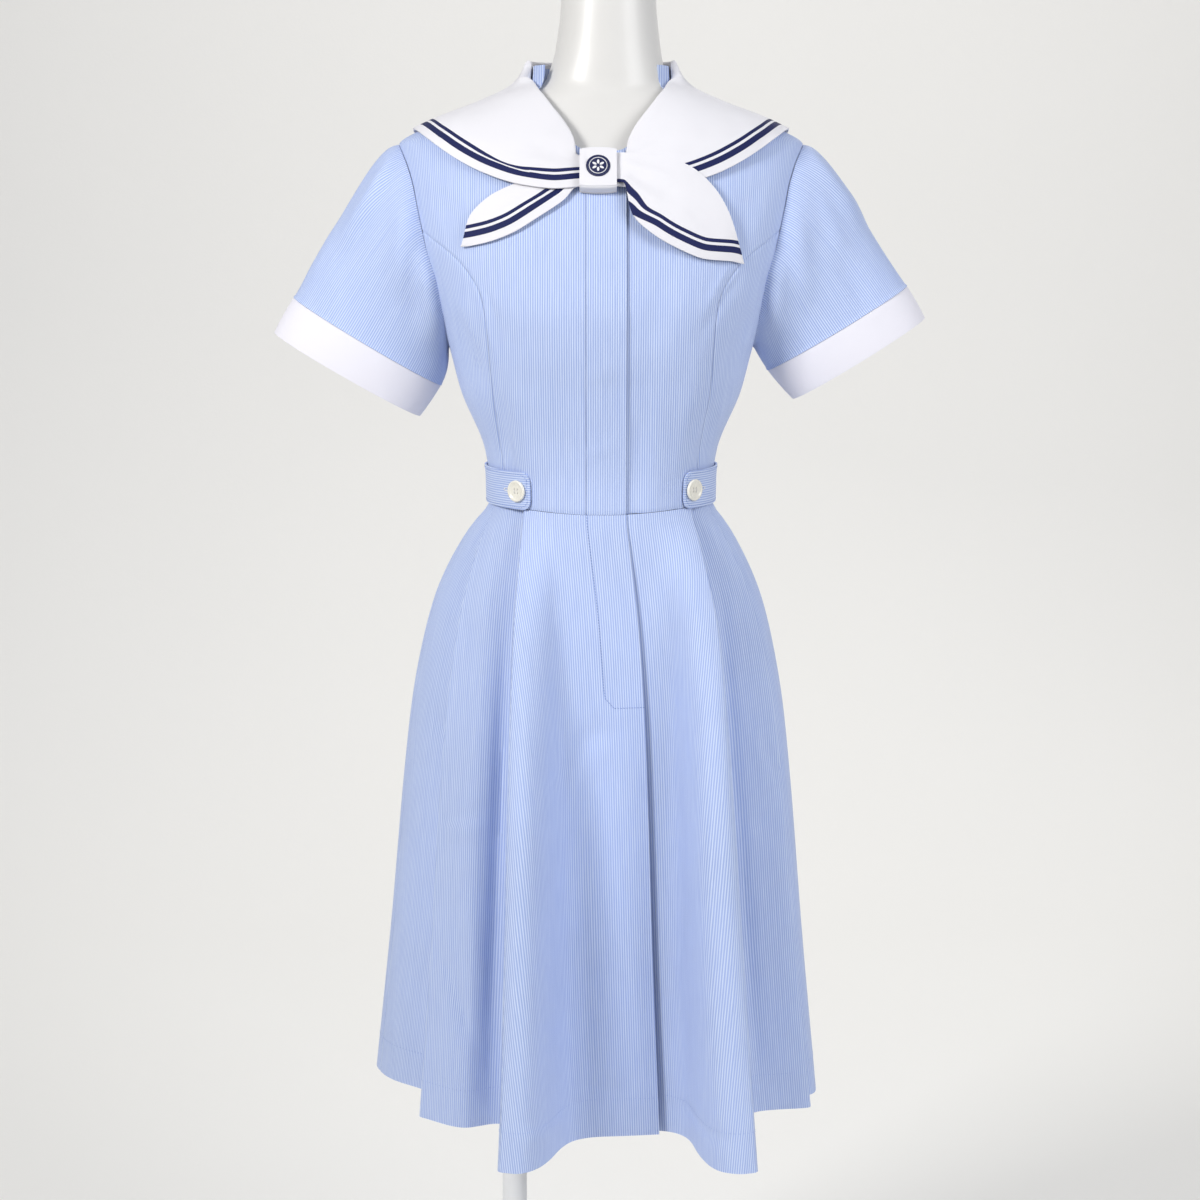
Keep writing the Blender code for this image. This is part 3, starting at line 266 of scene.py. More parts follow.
SECTIONS = [
    Section(1.0060, 0.1050, 0.0885, 0.0810, 2.10, 2.10),
    Section(1.0300, 0.1050, 0.0890, 0.0805, 2.12, 2.10),
    Section(1.0570, 0.1085, 0.0920, 0.0820, 2.18, 2.15),
    Section(1.1150, 0.1310, 0.1060, 0.0920, 2.30, 2.22),
    Section(1.1560, 0.1415, 0.1175, 0.0990, 2.40, 2.28),
    Section(1.1950, 0.1535, 0.1230, 0.1020, 2.48, 2.32),
    Section(1.2300, 0.1655, 0.1180, 0.1040, 2.48, 2.36),
    Section(1.2620, 0.1745, 0.1095, 0.1025, 2.44, 2.36),
    Section(1.3020, 0.1825, 0.0945, 0.0970, 2.28, 2.28),
    Section(1.3250, 0.1858, 0.0825, 0.0905, 2.15, 2.15),
    Section(1.3396, 0.1865, 0.0745, 0.0850, 2.08, 2.08),
    Section(1.3560, 0.1610, 0.0650, 0.0775, 2.00, 2.00),
    Section(1.3720, 0.1200, 0.0575, 0.0700, 2.00, 2.00),
    Section(1.3830, 0.0900, 0.0525, 0.0640, 2.00, 2.00),
    Section(1.3920, 0.0670, 0.0480, 0.0590, 2.00, 2.00),
    Section(1.4050, 0.0635, 0.0450, 0.0560, 2.00, 2.00),
    Section(1.4165, 0.0630, 0.0440, 0.0545, 2.00, 2.00),
]
PRINCESS_SEAM = [
    Spot(0.0845, 1.010), Spot(0.0940, 1.070), Spot(0.1000, 1.130), Spot(0.1025, 1.175),
    Spot(0.1080, 1.205), Spot(0.1240, 1.231), Spot(0.1630, 1.262),
]
ARMHOLE_LOW = [
    Spot(0.1630, 1.262), Spot(0.1570, 1.235), Spot(0.1500, 1.205), Spot(0.1450, 1.178),
    Spot(0.1415, 1.156),
]
ARMHOLE_HIGH = [
    Spot(0.1630, 1.262), Spot(0.1675, 1.282), Spot(0.1715, 1.302), Spot(0.1780, 1.322),
    Spot(0.1865, 1.3396),
]
NECKLINE = [
    Spot(0.0000, 1.3305), Spot(0.0160, 1.3335), Spot(0.0300, 1.3430), Spot(0.0460, 1.3580),
    Spot(0.0580, 1.3760), Spot(0.0655, 1.3875), Spot(0.0670, 1.3920),
]
BACK_NECKLINE = [
    Spot(0.0000, 1.3810), Spot(0.0300, 1.3825), Spot(0.0500, 1.3860), Spot(0.0620, 1.3895),
    Spot(0.0670, 1.3920),
]

# The bodice's own soft creases, for both sides unless the x tells otherwise.
BODICE_CREASES = [
    Crease("left armpit drag", Spot(-0.132, 1.190), Spot(-0.104, 1.118), 0.0075, -0.0029),
    Crease("left armpit roll", Spot(-0.126, 1.205), Spot(-0.112, 1.150), 0.0065, 0.0017),
    Crease("left waist drag", Spot(-0.098, 1.120), Spot(-0.080, 1.035), 0.0060, -0.0026),
    Crease("left dart swell", Spot(-0.083, 1.150), Spot(-0.064, 1.030), 0.0110, 0.0024),
    Crease("left bust hollow", Spot(-0.060, 1.262), Spot(-0.038, 1.190), 0.0140, -0.0022),
    Crease("placket side hollow", Spot(-0.034, 1.150), Spot(-0.030, 1.030), 0.0100, -0.0017),
    Crease("right armpit drag", Spot(0.136, 1.196), Spot(0.116, 1.135), 0.0070, -0.0027),
    Crease("right waist drag", Spot(0.104, 1.110), Spot(0.088, 1.040), 0.0065, -0.0027),
    Crease("right dart swell", Spot(0.090, 1.160), Spot(0.070, 1.035), 0.0120, 0.0022),
    Crease("right bust hollow", Spot(0.062, 1.232), Spot(0.050, 1.165), 0.0130, -0.0019),
    Crease("left seam pull", Spot(-0.104, 1.212), Spot(-0.088, 1.168), 0.0032, -0.0013),
    Crease("left seam pucker", Spot(-0.108, 1.196), Spot(-0.092, 1.140), 0.0030, 0.0011),
    Crease("left seam low pull", Spot(-0.094, 1.120), Spot(-0.078, 1.080), 0.0030, -0.0011),
    Crease("right seam pull", Spot(0.128, 1.226), Spot(0.086, 1.168), 0.0036, -0.0015),
    Crease("right seam pucker", Spot(0.116, 1.236), Spot(0.090, 1.188), 0.0034, 0.0012),
    Crease("right seam low pull", Spot(0.096, 1.118), Spot(0.080, 1.076), 0.0030, -0.0012),
    Crease("lap bend low", Spot(-0.020, 1.128), Spot(0.018, 1.142), 0.0060, 0.0010),
    Crease("lap bend high", Spot(-0.016, 1.062), Spot(0.018, 1.070), 0.0055, 0.0009),
    Crease("lap side shade", Spot(0.036, 1.170), Spot(0.036, 1.030), 0.0070, -0.0016),
    Crease("lap edge swell", Spot(0.036, 1.200), Spot(0.034, 1.060), 0.0080, 0.0012),
    Crease("right chest drag", Spot(0.140, 1.300), Spot(0.112, 1.246), 0.0090, -0.0020),
    Crease("left chest drag", Spot(-0.146, 1.296), Spot(-0.122, 1.252), 0.0085, -0.0020),
    Crease("back waist drag left", Spot(0.070, 1.110), Spot(0.056, 1.030), 0.0090, -0.0031, True),
    Crease("back waist drag right", Spot(-0.076, 1.125), Spot(-0.060, 1.030), 0.0080, -0.0032, True),
    Crease("back swell left", Spot(0.088, 1.180), Spot(0.078, 1.080), 0.0120, 0.0022, True),
    Crease("back swell right", Spot(-0.094, 1.190), Spot(-0.086, 1.090), 0.0130, 0.0024, True),
    Crease("back armhole drag left", Spot(0.132, 1.195), Spot(0.100, 1.140), 0.0080, -0.0027, True),
    Crease("back armhole drag right", Spot(-0.130, 1.202), Spot(-0.104, 1.150), 0.0075, -0.0026, True),
    Crease("back middle hollow", Spot(0.006, 1.190), Spot(0.002, 1.050), 0.0150, -0.0020, True),
]
SLEEVE_CREASES = [
    Crease("right cap trough", Spot(-0.188, 1.330), Spot(-0.236, 1.250), 0.0080, -0.0058),
    Crease("right cap ridge", Spot(-0.184, 1.330), Spot(-0.206, 1.285), 0.0055, 0.0019),
    Crease("right middle ridge", Spot(-0.206, 1.285), Spot(-0.246, 1.226), 0.0090, 0.0025),
    Crease("right inner trough", Spot(-0.178, 1.290), Spot(-0.184, 1.205), 0.0120, -0.0052),
    Crease("right inner ridge", Spot(-0.170, 1.245), Spot(-0.170, 1.165), 0.0080, 0.0020),
    Crease("right armpit trough", Spot(-0.161, 1.240), Spot(-0.152, 1.160), 0.0110, -0.0092),
    Crease("right outer trough", Spot(-0.244, 1.270), Spot(-0.278, 1.214), 0.0080, -0.0016),
    Crease("left cap trough", Spot(0.190, 1.332), Spot(0.240, 1.268), 0.0085, -0.0056),
    Crease("left second trough", Spot(0.188, 1.318), Spot(0.224, 1.230), 0.0075, -0.0028),
    Crease("left ridge", Spot(0.190, 1.310), Spot(0.213, 1.246), 0.0065, 0.0023),
    Crease("left low ridge", Spot(0.213, 1.246), Spot(0.248, 1.186), 0.0085, 0.0022),
    Crease("left inner trough", Spot(0.176, 1.280), Spot(0.186, 1.190), 0.0120, -0.0050),
    Crease("left armpit trough", Spot(0.160, 1.238), Spot(0.158, 1.170), 0.0110, -0.0086),
    Crease("back right trough", Spot(-0.190, 1.322), Spot(-0.226, 1.236), 0.0085, -0.0035, True),
    Crease("back right ridge", Spot(-0.184, 1.300), Spot(-0.206, 1.220), 0.0075, 0.0022, True),
    Crease("back right armpit", Spot(-0.164, 1.240), Spot(-0.162, 1.172), 0.0075, -0.0038, True),
    Crease("back left trough", Spot(0.192, 1.318), Spot(0.232, 1.240), 0.0080, -0.0032, True),
    Crease("back left ridge", Spot(0.186, 1.296), Spot(0.212, 1.214), 0.0080, 0.0020, True),
    Crease("back left armpit", Spot(0.163, 1.236), Spot(0.166, 1.180), 0.0075, -0.0038, True),
]
SKIRT_CREASES = [
    Crease("lap swell", Spot(-0.072, 0.820), Spot(-0.078, 0.470), 0.0160, 0.0030),
    Crease("lap hollow", Spot(-0.014, 0.800), Spot(-0.004, 0.440), 0.0240, -0.0085),
    Crease("lap edge roll", Spot(0.040, 0.780), Spot(0.049, 0.450), 0.0060, -0.0009),
    Crease("groove beside right pleat", Spot(-0.0895, 0.880), Spot(-0.1035, 0.440), 0.0085, -0.0085),
    Crease("groove beside left pleat", Spot(0.114, 0.900), Spot(0.1500, 0.450), 0.0072, -0.0062),
    Crease("low drag", Spot(-0.150, 0.585), Spot(-0.122, 0.500), 0.0055, -0.0024),
    Crease("lap pull", Spot(0.034, 0.812), Spot(-0.012, 0.800), 0.0060, -0.0014),
    Crease("fly pull", Spot(0.004, 0.818), Spot(-0.050, 0.762), 0.0090, -0.0016),
    Crease("fly roll", Spot(0.010, 0.800), Spot(-0.036, 0.742), 0.0080, 0.0011),
    Crease("left panel drag", Spot(-0.150, 0.712), Spot(-0.104, 0.726), 0.0050, -0.0022),
    Crease("left panel roll", Spot(-0.152, 0.700), Spot(-0.110, 0.713), 0.0060, 0.0014),
    Crease("left panel hollow", Spot(-0.118, 0.940), Spot(-0.126, 0.740), 0.0120, -0.0022),
    Crease("left panel low hollow", Spot(-0.138, 0.640), Spot(-0.130, 0.500), 0.0110, -0.0026),
    Crease("left side dent", Spot(-0.176, 0.800), Spot(-0.150, 0.782), 0.0055, -0.0019),
    Crease("right panel drag", Spot(0.150, 0.790), Spot(0.172, 0.740), 0.0060, -0.0022),
    Crease("right panel low drag", Spot(0.132, 0.712), Spot(0.168, 0.700), 0.0055, -0.0017),
    Crease("right panel roll", Spot(0.142, 0.800), Spot(0.160, 0.742), 0.0065, 0.0015),
    Crease("centre right hollow", Spot(0.060, 0.880), Spot(0.066, 0.600), 0.0110, -0.0026),
    Crease("centre right swell", Spot(0.098, 0.840), Spot(0.112, 0.460), 0.0200, 0.0056),
    Crease("centre left hollow", Spot(-0.058, 0.930), Spot(-0.060, 0.760), 0.0130, -0.0012),
    Crease("hem wave left", Spot(-0.075, 0.452), Spot(-0.030, 0.444), 0.0080, 0.0017),
    Crease("hem wave middle", Spot(-0.020, 0.470), Spot(0.030, 0.462), 0.0080, -0.0014),
    Crease("hem wave right", Spot(0.070, 0.448), Spot(0.118, 0.452), 0.0070, -0.0014),
    Crease("back drag left", Spot(0.150, 0.760), Spot(0.118, 0.716), 0.0070, -0.0022, True),
    Crease("back hollow left", Spot(0.060, 0.880), Spot(0.068, 0.640), 0.0140, -0.0024, True),
    Crease("back swell left", Spot(0.092, 0.800), Spot(0.104, 0.580), 0.0130, 0.0018, True),
    Crease("back hollow right", Spot(-0.056, 0.860), Spot(-0.070, 0.600), 0.0150, -0.0026, True),
    Crease("back swell right", Spot(-0.020, 0.820), Spot(-0.028, 0.560), 0.0200, 0.0020, True),
    Crease("back drag right", Spot(-0.160, 0.800), Spot(-0.126, 0.752), 0.0070, -0.0021, True),
    Crease("back hem wave", Spot(-0.060, 0.452), Spot(-0.010, 0.446), 0.0080, 0.0015, True),
]
COLLAR_CREASES = [
    Crease("right lapel gather", Spot(-0.024, 1.316), Spot(-0.086, 1.328), 0.0048, 0.0013),
    Crease("right lapel hollow", Spot(-0.022, 1.324), Spot(-0.070, 1.344), 0.0060, -0.0014),
    Crease("left lapel gather", Spot(0.024, 1.318), Spot(0.078, 1.334), 0.0050, 0.0012),
    Crease("left lapel hollow", Spot(0.026, 1.327), Spot(0.066, 1.348), 0.0055, -0.0012),
    Crease("right shoulder bend", Spot(-0.120, 1.362), Spot(-0.166, 1.350), 0.0120, 0.0010),
    Crease("left shoulder bend", Spot(0.118, 1.364), Spot(0.162, 1.352), 0.0120, 0.0010),
    Crease("flap swell right", Spot(-0.070, 1.350), Spot(-0.080, 1.240), 0.0220, 0.0016, True),
    Crease("flap hollow", Spot(0.010, 1.340), Spot(0.016, 1.235), 0.0240, -0.0014, True),
    Crease("flap swell left", Spot(0.085, 1.345), Spot(0.092, 1.245), 0.0200, 0.0014, True),
]
TAIL_CREASES = [
    Crease("right tail gather", Spot(-0.018, 1.308), Spot(-0.074, 1.286), 0.0042, 0.0014),
    Crease("right tail hollow", Spot(-0.020, 1.302), Spot(-0.060, 1.280), 0.0040, -0.0012),
    Crease("left tail gather", Spot(0.018, 1.316), Spot(0.070, 1.292), 0.0050, 0.0016),
    Crease("left tail hollow", Spot(0.018, 1.308), Spot(0.056, 1.280), 0.0048, -0.0016),
    Crease("left tail upper hollow", Spot(0.020, 1.321), Spot(0.064, 1.308), 0.0042, -0.0012),
    Crease("left tail tip swell", Spot(0.076, 1.286), Spot(0.110, 1.258), 0.0100, 0.0012),
]
KEEPER_CREASES = [
    Crease("keeper left pinch", Spot(-0.0130, 1.330), Spot(-0.0110, 1.318), 0.0020, -0.0007),
]


class CreasePress:
    """Presses creases into rows of points."""

    def __init__(self, creases: Sequence[Crease]) -> None:
        self.creases = creases

    def press(self, grid: Grid, outward: bool, back: bool | None = None) -> Grid:
        """Move the points of a grid along its own normals.

        Args:
            grid: rows of points.
            outward: whether rows by columns face outwards.
            back: True or False where the whole grid is on one view, or None to go by its Y.

        Returns:
            The moved rows.
        """
        rows, columns = len(grid), len(grid[0])
        places = np.array([[tuple(point) for point in row] for row in grid], float)
        normals = grid_normals(places) * (1.0 if outward else -1.0)
        behind = places[..., 1] > 0.0 if back is None else np.full((rows, columns), back)
        total = np.zeros((rows, columns))
        for crease in self.creases:
            ax, az, bx, bz = crease.start.x, crease.start.z, crease.end.x, crease.end.z
            dx, dz = bx - ax, bz - az
            length = math.hypot(dx, dz)
            along = ((places[..., 0] - ax) * dx + (places[..., 2] - az) * dz) / length ** 2
            across = ((places[..., 0] - ax) * dz - (places[..., 2] - az) * dx) / length
            fade = np.clip(np.minimum(along + 0.15, 1.15 - along) / 0.5, 0.0, 1.0)
            fade = fade * fade * (3.0 - 2.0 * fade)
            spread = crease.width * (0.75 + 0.5 * np.clip(along, 0.0, 1.0))
            total += np.where(behind == crease.back, crease.depth * fade * np.exp(-(across / spread) ** 2), 0.0)
        places += normals * total[..., None]
        return [[Vector(place) for place in row] for row in places]


def grid_normals(places: np.ndarray) -> np.ndarray:
    """Unit normals of a grid of points.

    Args:
        places: an array of rows, columns and 3 coordinates.

    Returns:
        The normals, which point out where a row runs along +X at the front and rows go up.
    """
    down = np.gradient(places, axis=0)
    across = np.gradient(places, axis=1)
    normals = np.cross(across, down)
    size = np.linalg.norm(normals, axis=2, keepdims=True)
    return normals / np.maximum(size, 1e-12)


class BodySurface:
    """The surface of the bodice, by the angle round it and the height."""

    GIRTH_DEG = 2.0
    GIRTH_STEP = 0.004

    def __init__(self, rows: Sequence[Section]) -> None:
        self.half = column(rows, "z", "half")
        self.front = column(rows, "z", "front")
        self.back = column(rows, "z", "back")
        self.front_round = column(rows, "z", "front_round")
        self.back_round = column(rows, "z", "back_round")
        self.girths: dict[int, list[float]] = {}

    @staticmethod
    def ring(deg: float, half: float, front: float, back: float, front_round: float,
             back_round: float) -> PROFILE:
        """A point on one level section.

        Args:
            deg: angle from the front, towards the wearer's left.
            half: half width.
            front: depth at the front.
            back: depth at the back.
            front_round: roundness of the front half.
            back_round: roundness of the back half.

        Returns:
            Its x and y.
        """
        across, ahead = math.sin(math.radians(deg)), math.cos(math.radians(deg))
        power = front_round if ahead >= 0.0 else back_round
        depth = front if ahead >= 0.0 else back
        reach = (abs(across) ** power + abs(ahead) ** power) ** (-1.0 / power)
        return half * across * reach, -depth * ahead * reach

    def raw(self, deg: float, z: float, ease: PROFILE = (0.0, 0.0)) -> Vector:
        """The surface point. ease widens the section: to front and back, and to the sides."""
        x, y = self.ring(
            deg, self.half(z) + ease[1], self.front(z) + ease[0], self.back(z) + ease[0],
            self.front_round(z), self.back_round(z),
        )
        return Vector((x, y, z))

    def normal(self, deg: float, z: float) -> Vector:
        """The outward unit normal."""
        around = self.raw(deg + 0.4, z) - self.raw(deg - 0.4, z)
        upward = self.raw(deg, z + 0.0008) - self.raw(deg, z - 0.0008)
        return around.cross(upward).normalized()

    def point(self, deg: float, z: float, out: float = 0.0) -> Vector:
        """The surface point, moved out along the normal."""
        place = self.raw(deg, z)
        return place + self.normal(deg, z) * out if out else place

    def turn_at(self, x: float, z: float, back: bool = False) -> float:
        """The angle where the section at z is x from the middle, in the front or back half."""
        power = self.back_round(z) if back else self.front_round(z)
        share = min(abs(x) / self.half(z), 1.0)
        rest = max(1.0 - share ** power, 0.0)
        deg = 90.0 if rest <= 1e-9 else math.degrees(math.atan(share / rest ** (1.0 / power)))
        deg = 180.0 - deg if back else deg
        return math.copysign(deg, x)

    def girth(self, deg: float, z: float) -> float:
        """Length round the level section from the middle of the front to an angle."""
        level = z / self.GIRTH_STEP
        low = int(level)
        lengths = [self._marks(low), self._marks(low + 1)]
        place = min(abs(deg) / self.GIRTH_DEG, len(lengths[0]) - 1.0)
        index = min(int(place), len(lengths[0]) - 2)
        reads = [marks[index] + (marks[index + 1] - marks[index]) * (place - index) for marks in lengths]
        return math.copysign(reads[0] + (reads[1] - reads[0]) * (level - low), deg)

    def _marks(self, level: int) -> list[float]:
        """Lengths from the middle of the front to each step of angle, at one level."""
        if level not in self.girths:
            z = level * self.GIRTH_STEP
            spots = [self.raw(step * self.GIRTH_DEG, z) for step in range(int(BACK_DEG / self.GIRTH_DEG) + 1)]
            marks = [0.0]
            for a, b in zip(spots, spots[1:]):
                marks.append(marks[-1] + (b - a).length)
            self.girths[level] = marks
        return self.girths[level]


BODY = BodySurface(SECTIONS)


def waist_z(deg: float) -> float:
    """Height of the waist seam, which dips at the front."""
    return WAIST_Z - WAIST_DIP * max(math.cos(math.radians(deg)), 0.0) ** 4


Place = tuple[float, float]


class Track:
    """A line on the body by its share of length, from (angle, height) points."""

    def __init__(self, places: Sequence[Place]) -> None:
        self.places = list(places)
        spots = [BODY.raw(deg, z) for deg, z in places]
        self.marks = [0.0]
        for before, after in zip(spots, spots[1:]):
            self.marks.append(self.marks[-1] + (after - before).length)

    @property
    def length(self) -> float:
        """The whole length of the line."""
        return self.marks[-1]

    def at(self, share: float) -> Place:
        """The (angle, height) at this share of the length."""
        aim = min(max(share, 0.0), 1.0) * self.length
        index = 0
        while index < len(self.marks) - 2 and aim > self.marks[index + 1]:
            index += 1
        span = self.marks[index + 1] - self.marks[index]
        t = (aim - self.marks[index]) / span if span else 0.0
        (deg_a, z_a), (deg_b, z_b) = self.places[index], self.places[index + 1]
        return deg_a + (deg_b - deg_a) * t, z_a + (z_b - z_a) * t


class Steps:
    """A line on the body by its share of points, so that two pieces share the points of a seam."""

    def __init__(self, places: Sequence[Place]) -> None:
        self.places = list(places)

    def at(self, share: float) -> Place:
        """The (angle, height) at this share of the points."""
        aim = share * (len(self.places) - 1)
        index = min(int(aim + 1e-9), len(self.places) - 2)
        t = aim - index
        (deg_a, z_a), (deg_b, z_b) = self.places[index], self.places[index + 1]
        return deg_a + (deg_b - deg_a) * t, z_a + (z_b - z_a) * t


Line = Track | Steps


def spots_track(spots: Sequence[Spot], side: Side, back: bool = False, steps: int = 8) -> list[Place]:
    """The (angle, height) points of a line through spots, rounded through them."""
    knots = list(range(len(spots)))
    xs = Smooth(knots, [spot.x for spot in spots])
    zs = Smooth(knots, [spot.z for spot in spots])
    places = []
    for count in range((len(spots) - 1) * steps + 1):
        x, z = xs(count / steps), zs(count / steps)
        turn = math.copysign(abs(BODY.turn_at(x, z, back)), x if x else 1.0)
        places.append((side.value * turn, z))
    return places


def moved(places: Sequence[Place], gap: float) -> list[Place]:
    """The places, moved round the body by a length, so that seams have a gap."""
    result = []
    for deg, z in places:
        per_degree = (BODY.raw(deg + 0.5, z) - BODY.raw(deg - 0.5, z)).length
        result.append((deg + gap / per_degree, z))
    return result


def coons(bottom: Line, top: Line, inner: Line, outer: Line, u: float, v: float) -> Place:
    """A point inside four lines, as (angle, height)."""
    sides = [(1.0 - v, bottom.at(u)), (v, top.at(u)), (1.0 - u, inner.at(v)), (u, outer.at(v))]
    corners = [
        ((1.0 - u) * (1.0 - v), inner.at(0.0)), (u * (1.0 - v), outer.at(0.0)),
        ((1.0 - u) * v, inner.at(1.0)), (u * v, outer.at(1.0)),
    ]
    deg, z = (
        sum(weight * place[axis] for weight, place in sides)
        - sum(weight * place[axis] for weight, place in corners)
        for axis in (0, 1)
    )
    return deg, z


def edge_distances(points: np.ndarray, edge: Sequence[Vector]) -> np.ndarray:
    """Distance from each point to the nearest place on an edge line.

    Args:
        points: an array of points.
        edge: the edge as a line of points.

    Returns:
        One distance a point.
    """
    starts = np.array([tuple(point) for point in edge[:-1]])
    runs = np.array([tuple(point) for point in edge[1:]]) - starts
    squares = np.maximum((runs ** 2).sum(axis=1), 1e-14)
    result = np.empty(len(points))
    for index, point in enumerate(points):
        away = point - starts
        t = np.clip((away * runs).sum(axis=1) / squares, 0.0, 1.0)
        gap = away - runs * t[:, None]
        result[index] = math.sqrt((gap ** 2).sum(axis=1).min())
    return result


class NodeBoard:
    """Builds a material's nodes with few words."""

    UV_NAME = "grain"

    def __init__(self, name: str) -> None:
        self.material = bpy.data.materials.new(name)
        self.material.use_nodes = True
        self.tree = self.material.node_tree
        self.shader = self.tree.nodes["Principled BSDF"]

    def link(self, source: bpy.types.NodeSocket, target: bpy.types.NodeSocket) -> None:
        """Join an output to an input."""
        self.tree.links.new(source, target)

    def feed(self, socket: bpy.types.NodeSocket, value: object) -> None:
        """Give an input a number, a colour or another node's output."""
        if isinstance(value, bpy.types.NodeSocket):
            self.link(value, socket)
        else:
            socket.default_value = value

    def math(self, operation: str, first: object, second: object = 0.0, third: object = 0.0,
             clamp: bool = False) -> bpy.types.NodeSocket:
        """A Math node's output."""
        node = self.tree.nodes.new("ShaderNodeMath")
        node.operation = operation
        node.use_clamp = clamp
        for socket, value in zip(node.inputs, (first, second, third)):
            self.feed(socket, value)
        return node.outputs[0]

    def grain(self) -> tuple[bpy.types.NodeSocket, bpy.types.NodeSocket]:
        """The cloth's own coordinates in metres, across and along the grain."""
        uv = self.tree.nodes.new("ShaderNodeUVMap")
        uv.uv_map = self.UV_NAME
        split = self.tree.nodes.new("ShaderNodeSeparateXYZ")
        self.link(uv.outputs[0], split.inputs[0])
        return split.outputs[0], split.outputs[1]

    def place(self) -> bpy.types.NodeSocket:
        """Object coordinates."""
        return self.tree.nodes.new("ShaderNodeTexCoord").outputs["Object"]

    def vector(self, x: object, y: object, z: object = 0.0) -> bpy.types.NodeSocket:
        """A vector from three numbers or outputs."""
        node = self.tree.nodes.new("ShaderNodeCombineXYZ")
        for socket, value in zip(node.inputs, (x, y, z)):
            self.feed(socket, value)
        return node.outputs[0]

    def noise(self, where: bpy.types.NodeSocket, scale: float, detail: float = 2.0) -> bpy.types.NodeSocket:
        """A noise value about 0.5."""
        node = self.tree.nodes.new("ShaderNodeTexNoise")
        self.link(where, node.inputs["Vector"])
        node.inputs["Scale"].default_value = scale
        node.inputs["Detail"].default_value = detail
        return node.outputs[0]

    def spread(self, value: object, low: float, high: float, start: float = 0.0,
               end: float = 1.0) -> bpy.types.NodeSocket:
        """A smooth step from low to high, drawn out to start and end."""
        node = self.tree.nodes.new("ShaderNodeMapRange")
        node.interpolation_type = "SMOOTHSTEP"
        for socket, number in zip(node.inputs, (value, low, high, start, end)):
            self.feed(socket, number)
        return node.outputs[0]

    def mix(self, share: object, first: object, second: object) -> bpy.types.NodeSocket:
        """A mix of two colours."""
        node = self.tree.nodes.new("ShaderNodeMix")
        node.data_type = "RGBA"
        self.feed(node.inputs[0], share)
        self.feed(node.inputs[6], first)
        self.feed(node.inputs[7], second)
        return node.outputs[2]

    def relief(self, height: bpy.types.NodeSocket, distance: float, strength: float = 1.0,
               under: bpy.types.NodeSocket | None = None) -> bpy.types.NodeSocket:
        """A Bump node's normal."""
        node = self.tree.nodes.new("ShaderNodeBump")
        node.inputs["Strength"].default_value = strength
        node.inputs["Distance"].default_value = distance
        self.link(height, node.inputs["Height"])
        if under is not None:
            self.link(under, node.inputs["Normal"])
        return node.outputs[0]

    def stripe(self, place: object, middle: float, half: float, soft: float) -> bpy.types.NodeSocket:
        """1 within half of the middle, and 0 away from it."""
        gap = self.math("ABSOLUTE", self.math("SUBTRACT", place, middle))
        return self.spread(gap, half - soft, half + soft, 1.0, 0.0)

    def waves(self, place: object, pitch: float, phase: object = 0.0) -> bpy.types.NodeSocket:
        """An even wave from 0 to 1 along a coordinate."""
        angle = self.math("ADD", self.math("MULTIPLY", place, 2.0 * math.pi / pitch), phase)
        return self.math("MULTIPLY_ADD", self.math("SINE", angle), 0.5, 0.5)


Colour = tuple[float, float, float, float]


@dataclass(frozen=True)
class StripedCotton:
    """Light blue cotton with a fine white stripe along the grain."""

    name: str
    ground: Colour = (0.348, 0.442, 0.748, 1.0)
    stripe: Colour = (0.592, 0.676, 0.862, 1.0)
    pitch: float = 0.00215
    rib_height: float = 0.00010
    yarn: float = 0.00055
    groove: float | None = None

    def build(self) -> bpy.types.Material:
        """Make the material.

        Returns:
            The finished material.
        """
        board = NodeBoard(self.name)
        across, along = board.grain()
        slub = board.noise(board.vector(board.math("MULTIPLY", across, 430.0),
                                        board.math("MULTIPLY", along, 22.0)), 1.0, 3.0)
        drift = board.math("MULTIPLY_ADD", slub, 1.7, -0.85)
        wave = board.waves(across, self.pitch, drift)
        white = board.spread(wave, 0.30, 0.86)
        strength = board.math("MULTIPLY_ADD", slub, 0.9, 0.42, clamp=True)
        white = board.math("MULTIPLY", white, strength)
        tone = board.noise(board.place(), 7.0, 3.0)
        shaded = board.mix(board.spread(tone, 0.35, 0.68), tuple(c * 0.93 for c in self.ground[:3]) + (1.0,),
                           self.ground)
        yarns = board.math("MULTIPLY", board.waves(along, self.yarn), 0.12)
        colour = board.mix(board.math("ADD", white, board.math("MULTIPLY", yarns, white)), shaded, self.stripe)
        board.link(colour, board.shader.inputs["Base Color"])
        board.shader.inputs["Roughness"].default_value = 0.78
        board.shader.inputs["Sheen Weight"].default_value = 0.18
        board.shader.inputs["Sheen Roughness"].default_value = 0.45
        board.shader.inputs["Specular IOR Level"].default_value = 0.28
        weave = board.math("MULTIPLY", board.waves(along, self.yarn), board.waves(across, self.yarn))
        height = board.math("MULTIPLY_ADD", weave, 0.35, wave)
        normal = board.relief(height, self.rib_height)
        crumple = board.noise(board.place(), 26.0, 3.0)
        normal = board.relief(crumple, 0.0016, 0.22, normal)
        if self.groove is not None:
            seam = board.stripe(across, self.groove, 0.0006, 0.0012)
            normal = board.relief(board.math("MULTIPLY", seam, -1.0), 0.0009, 0.9, normal)
        board.link(normal, board.shader.inputs["Normal"])
        return board.material


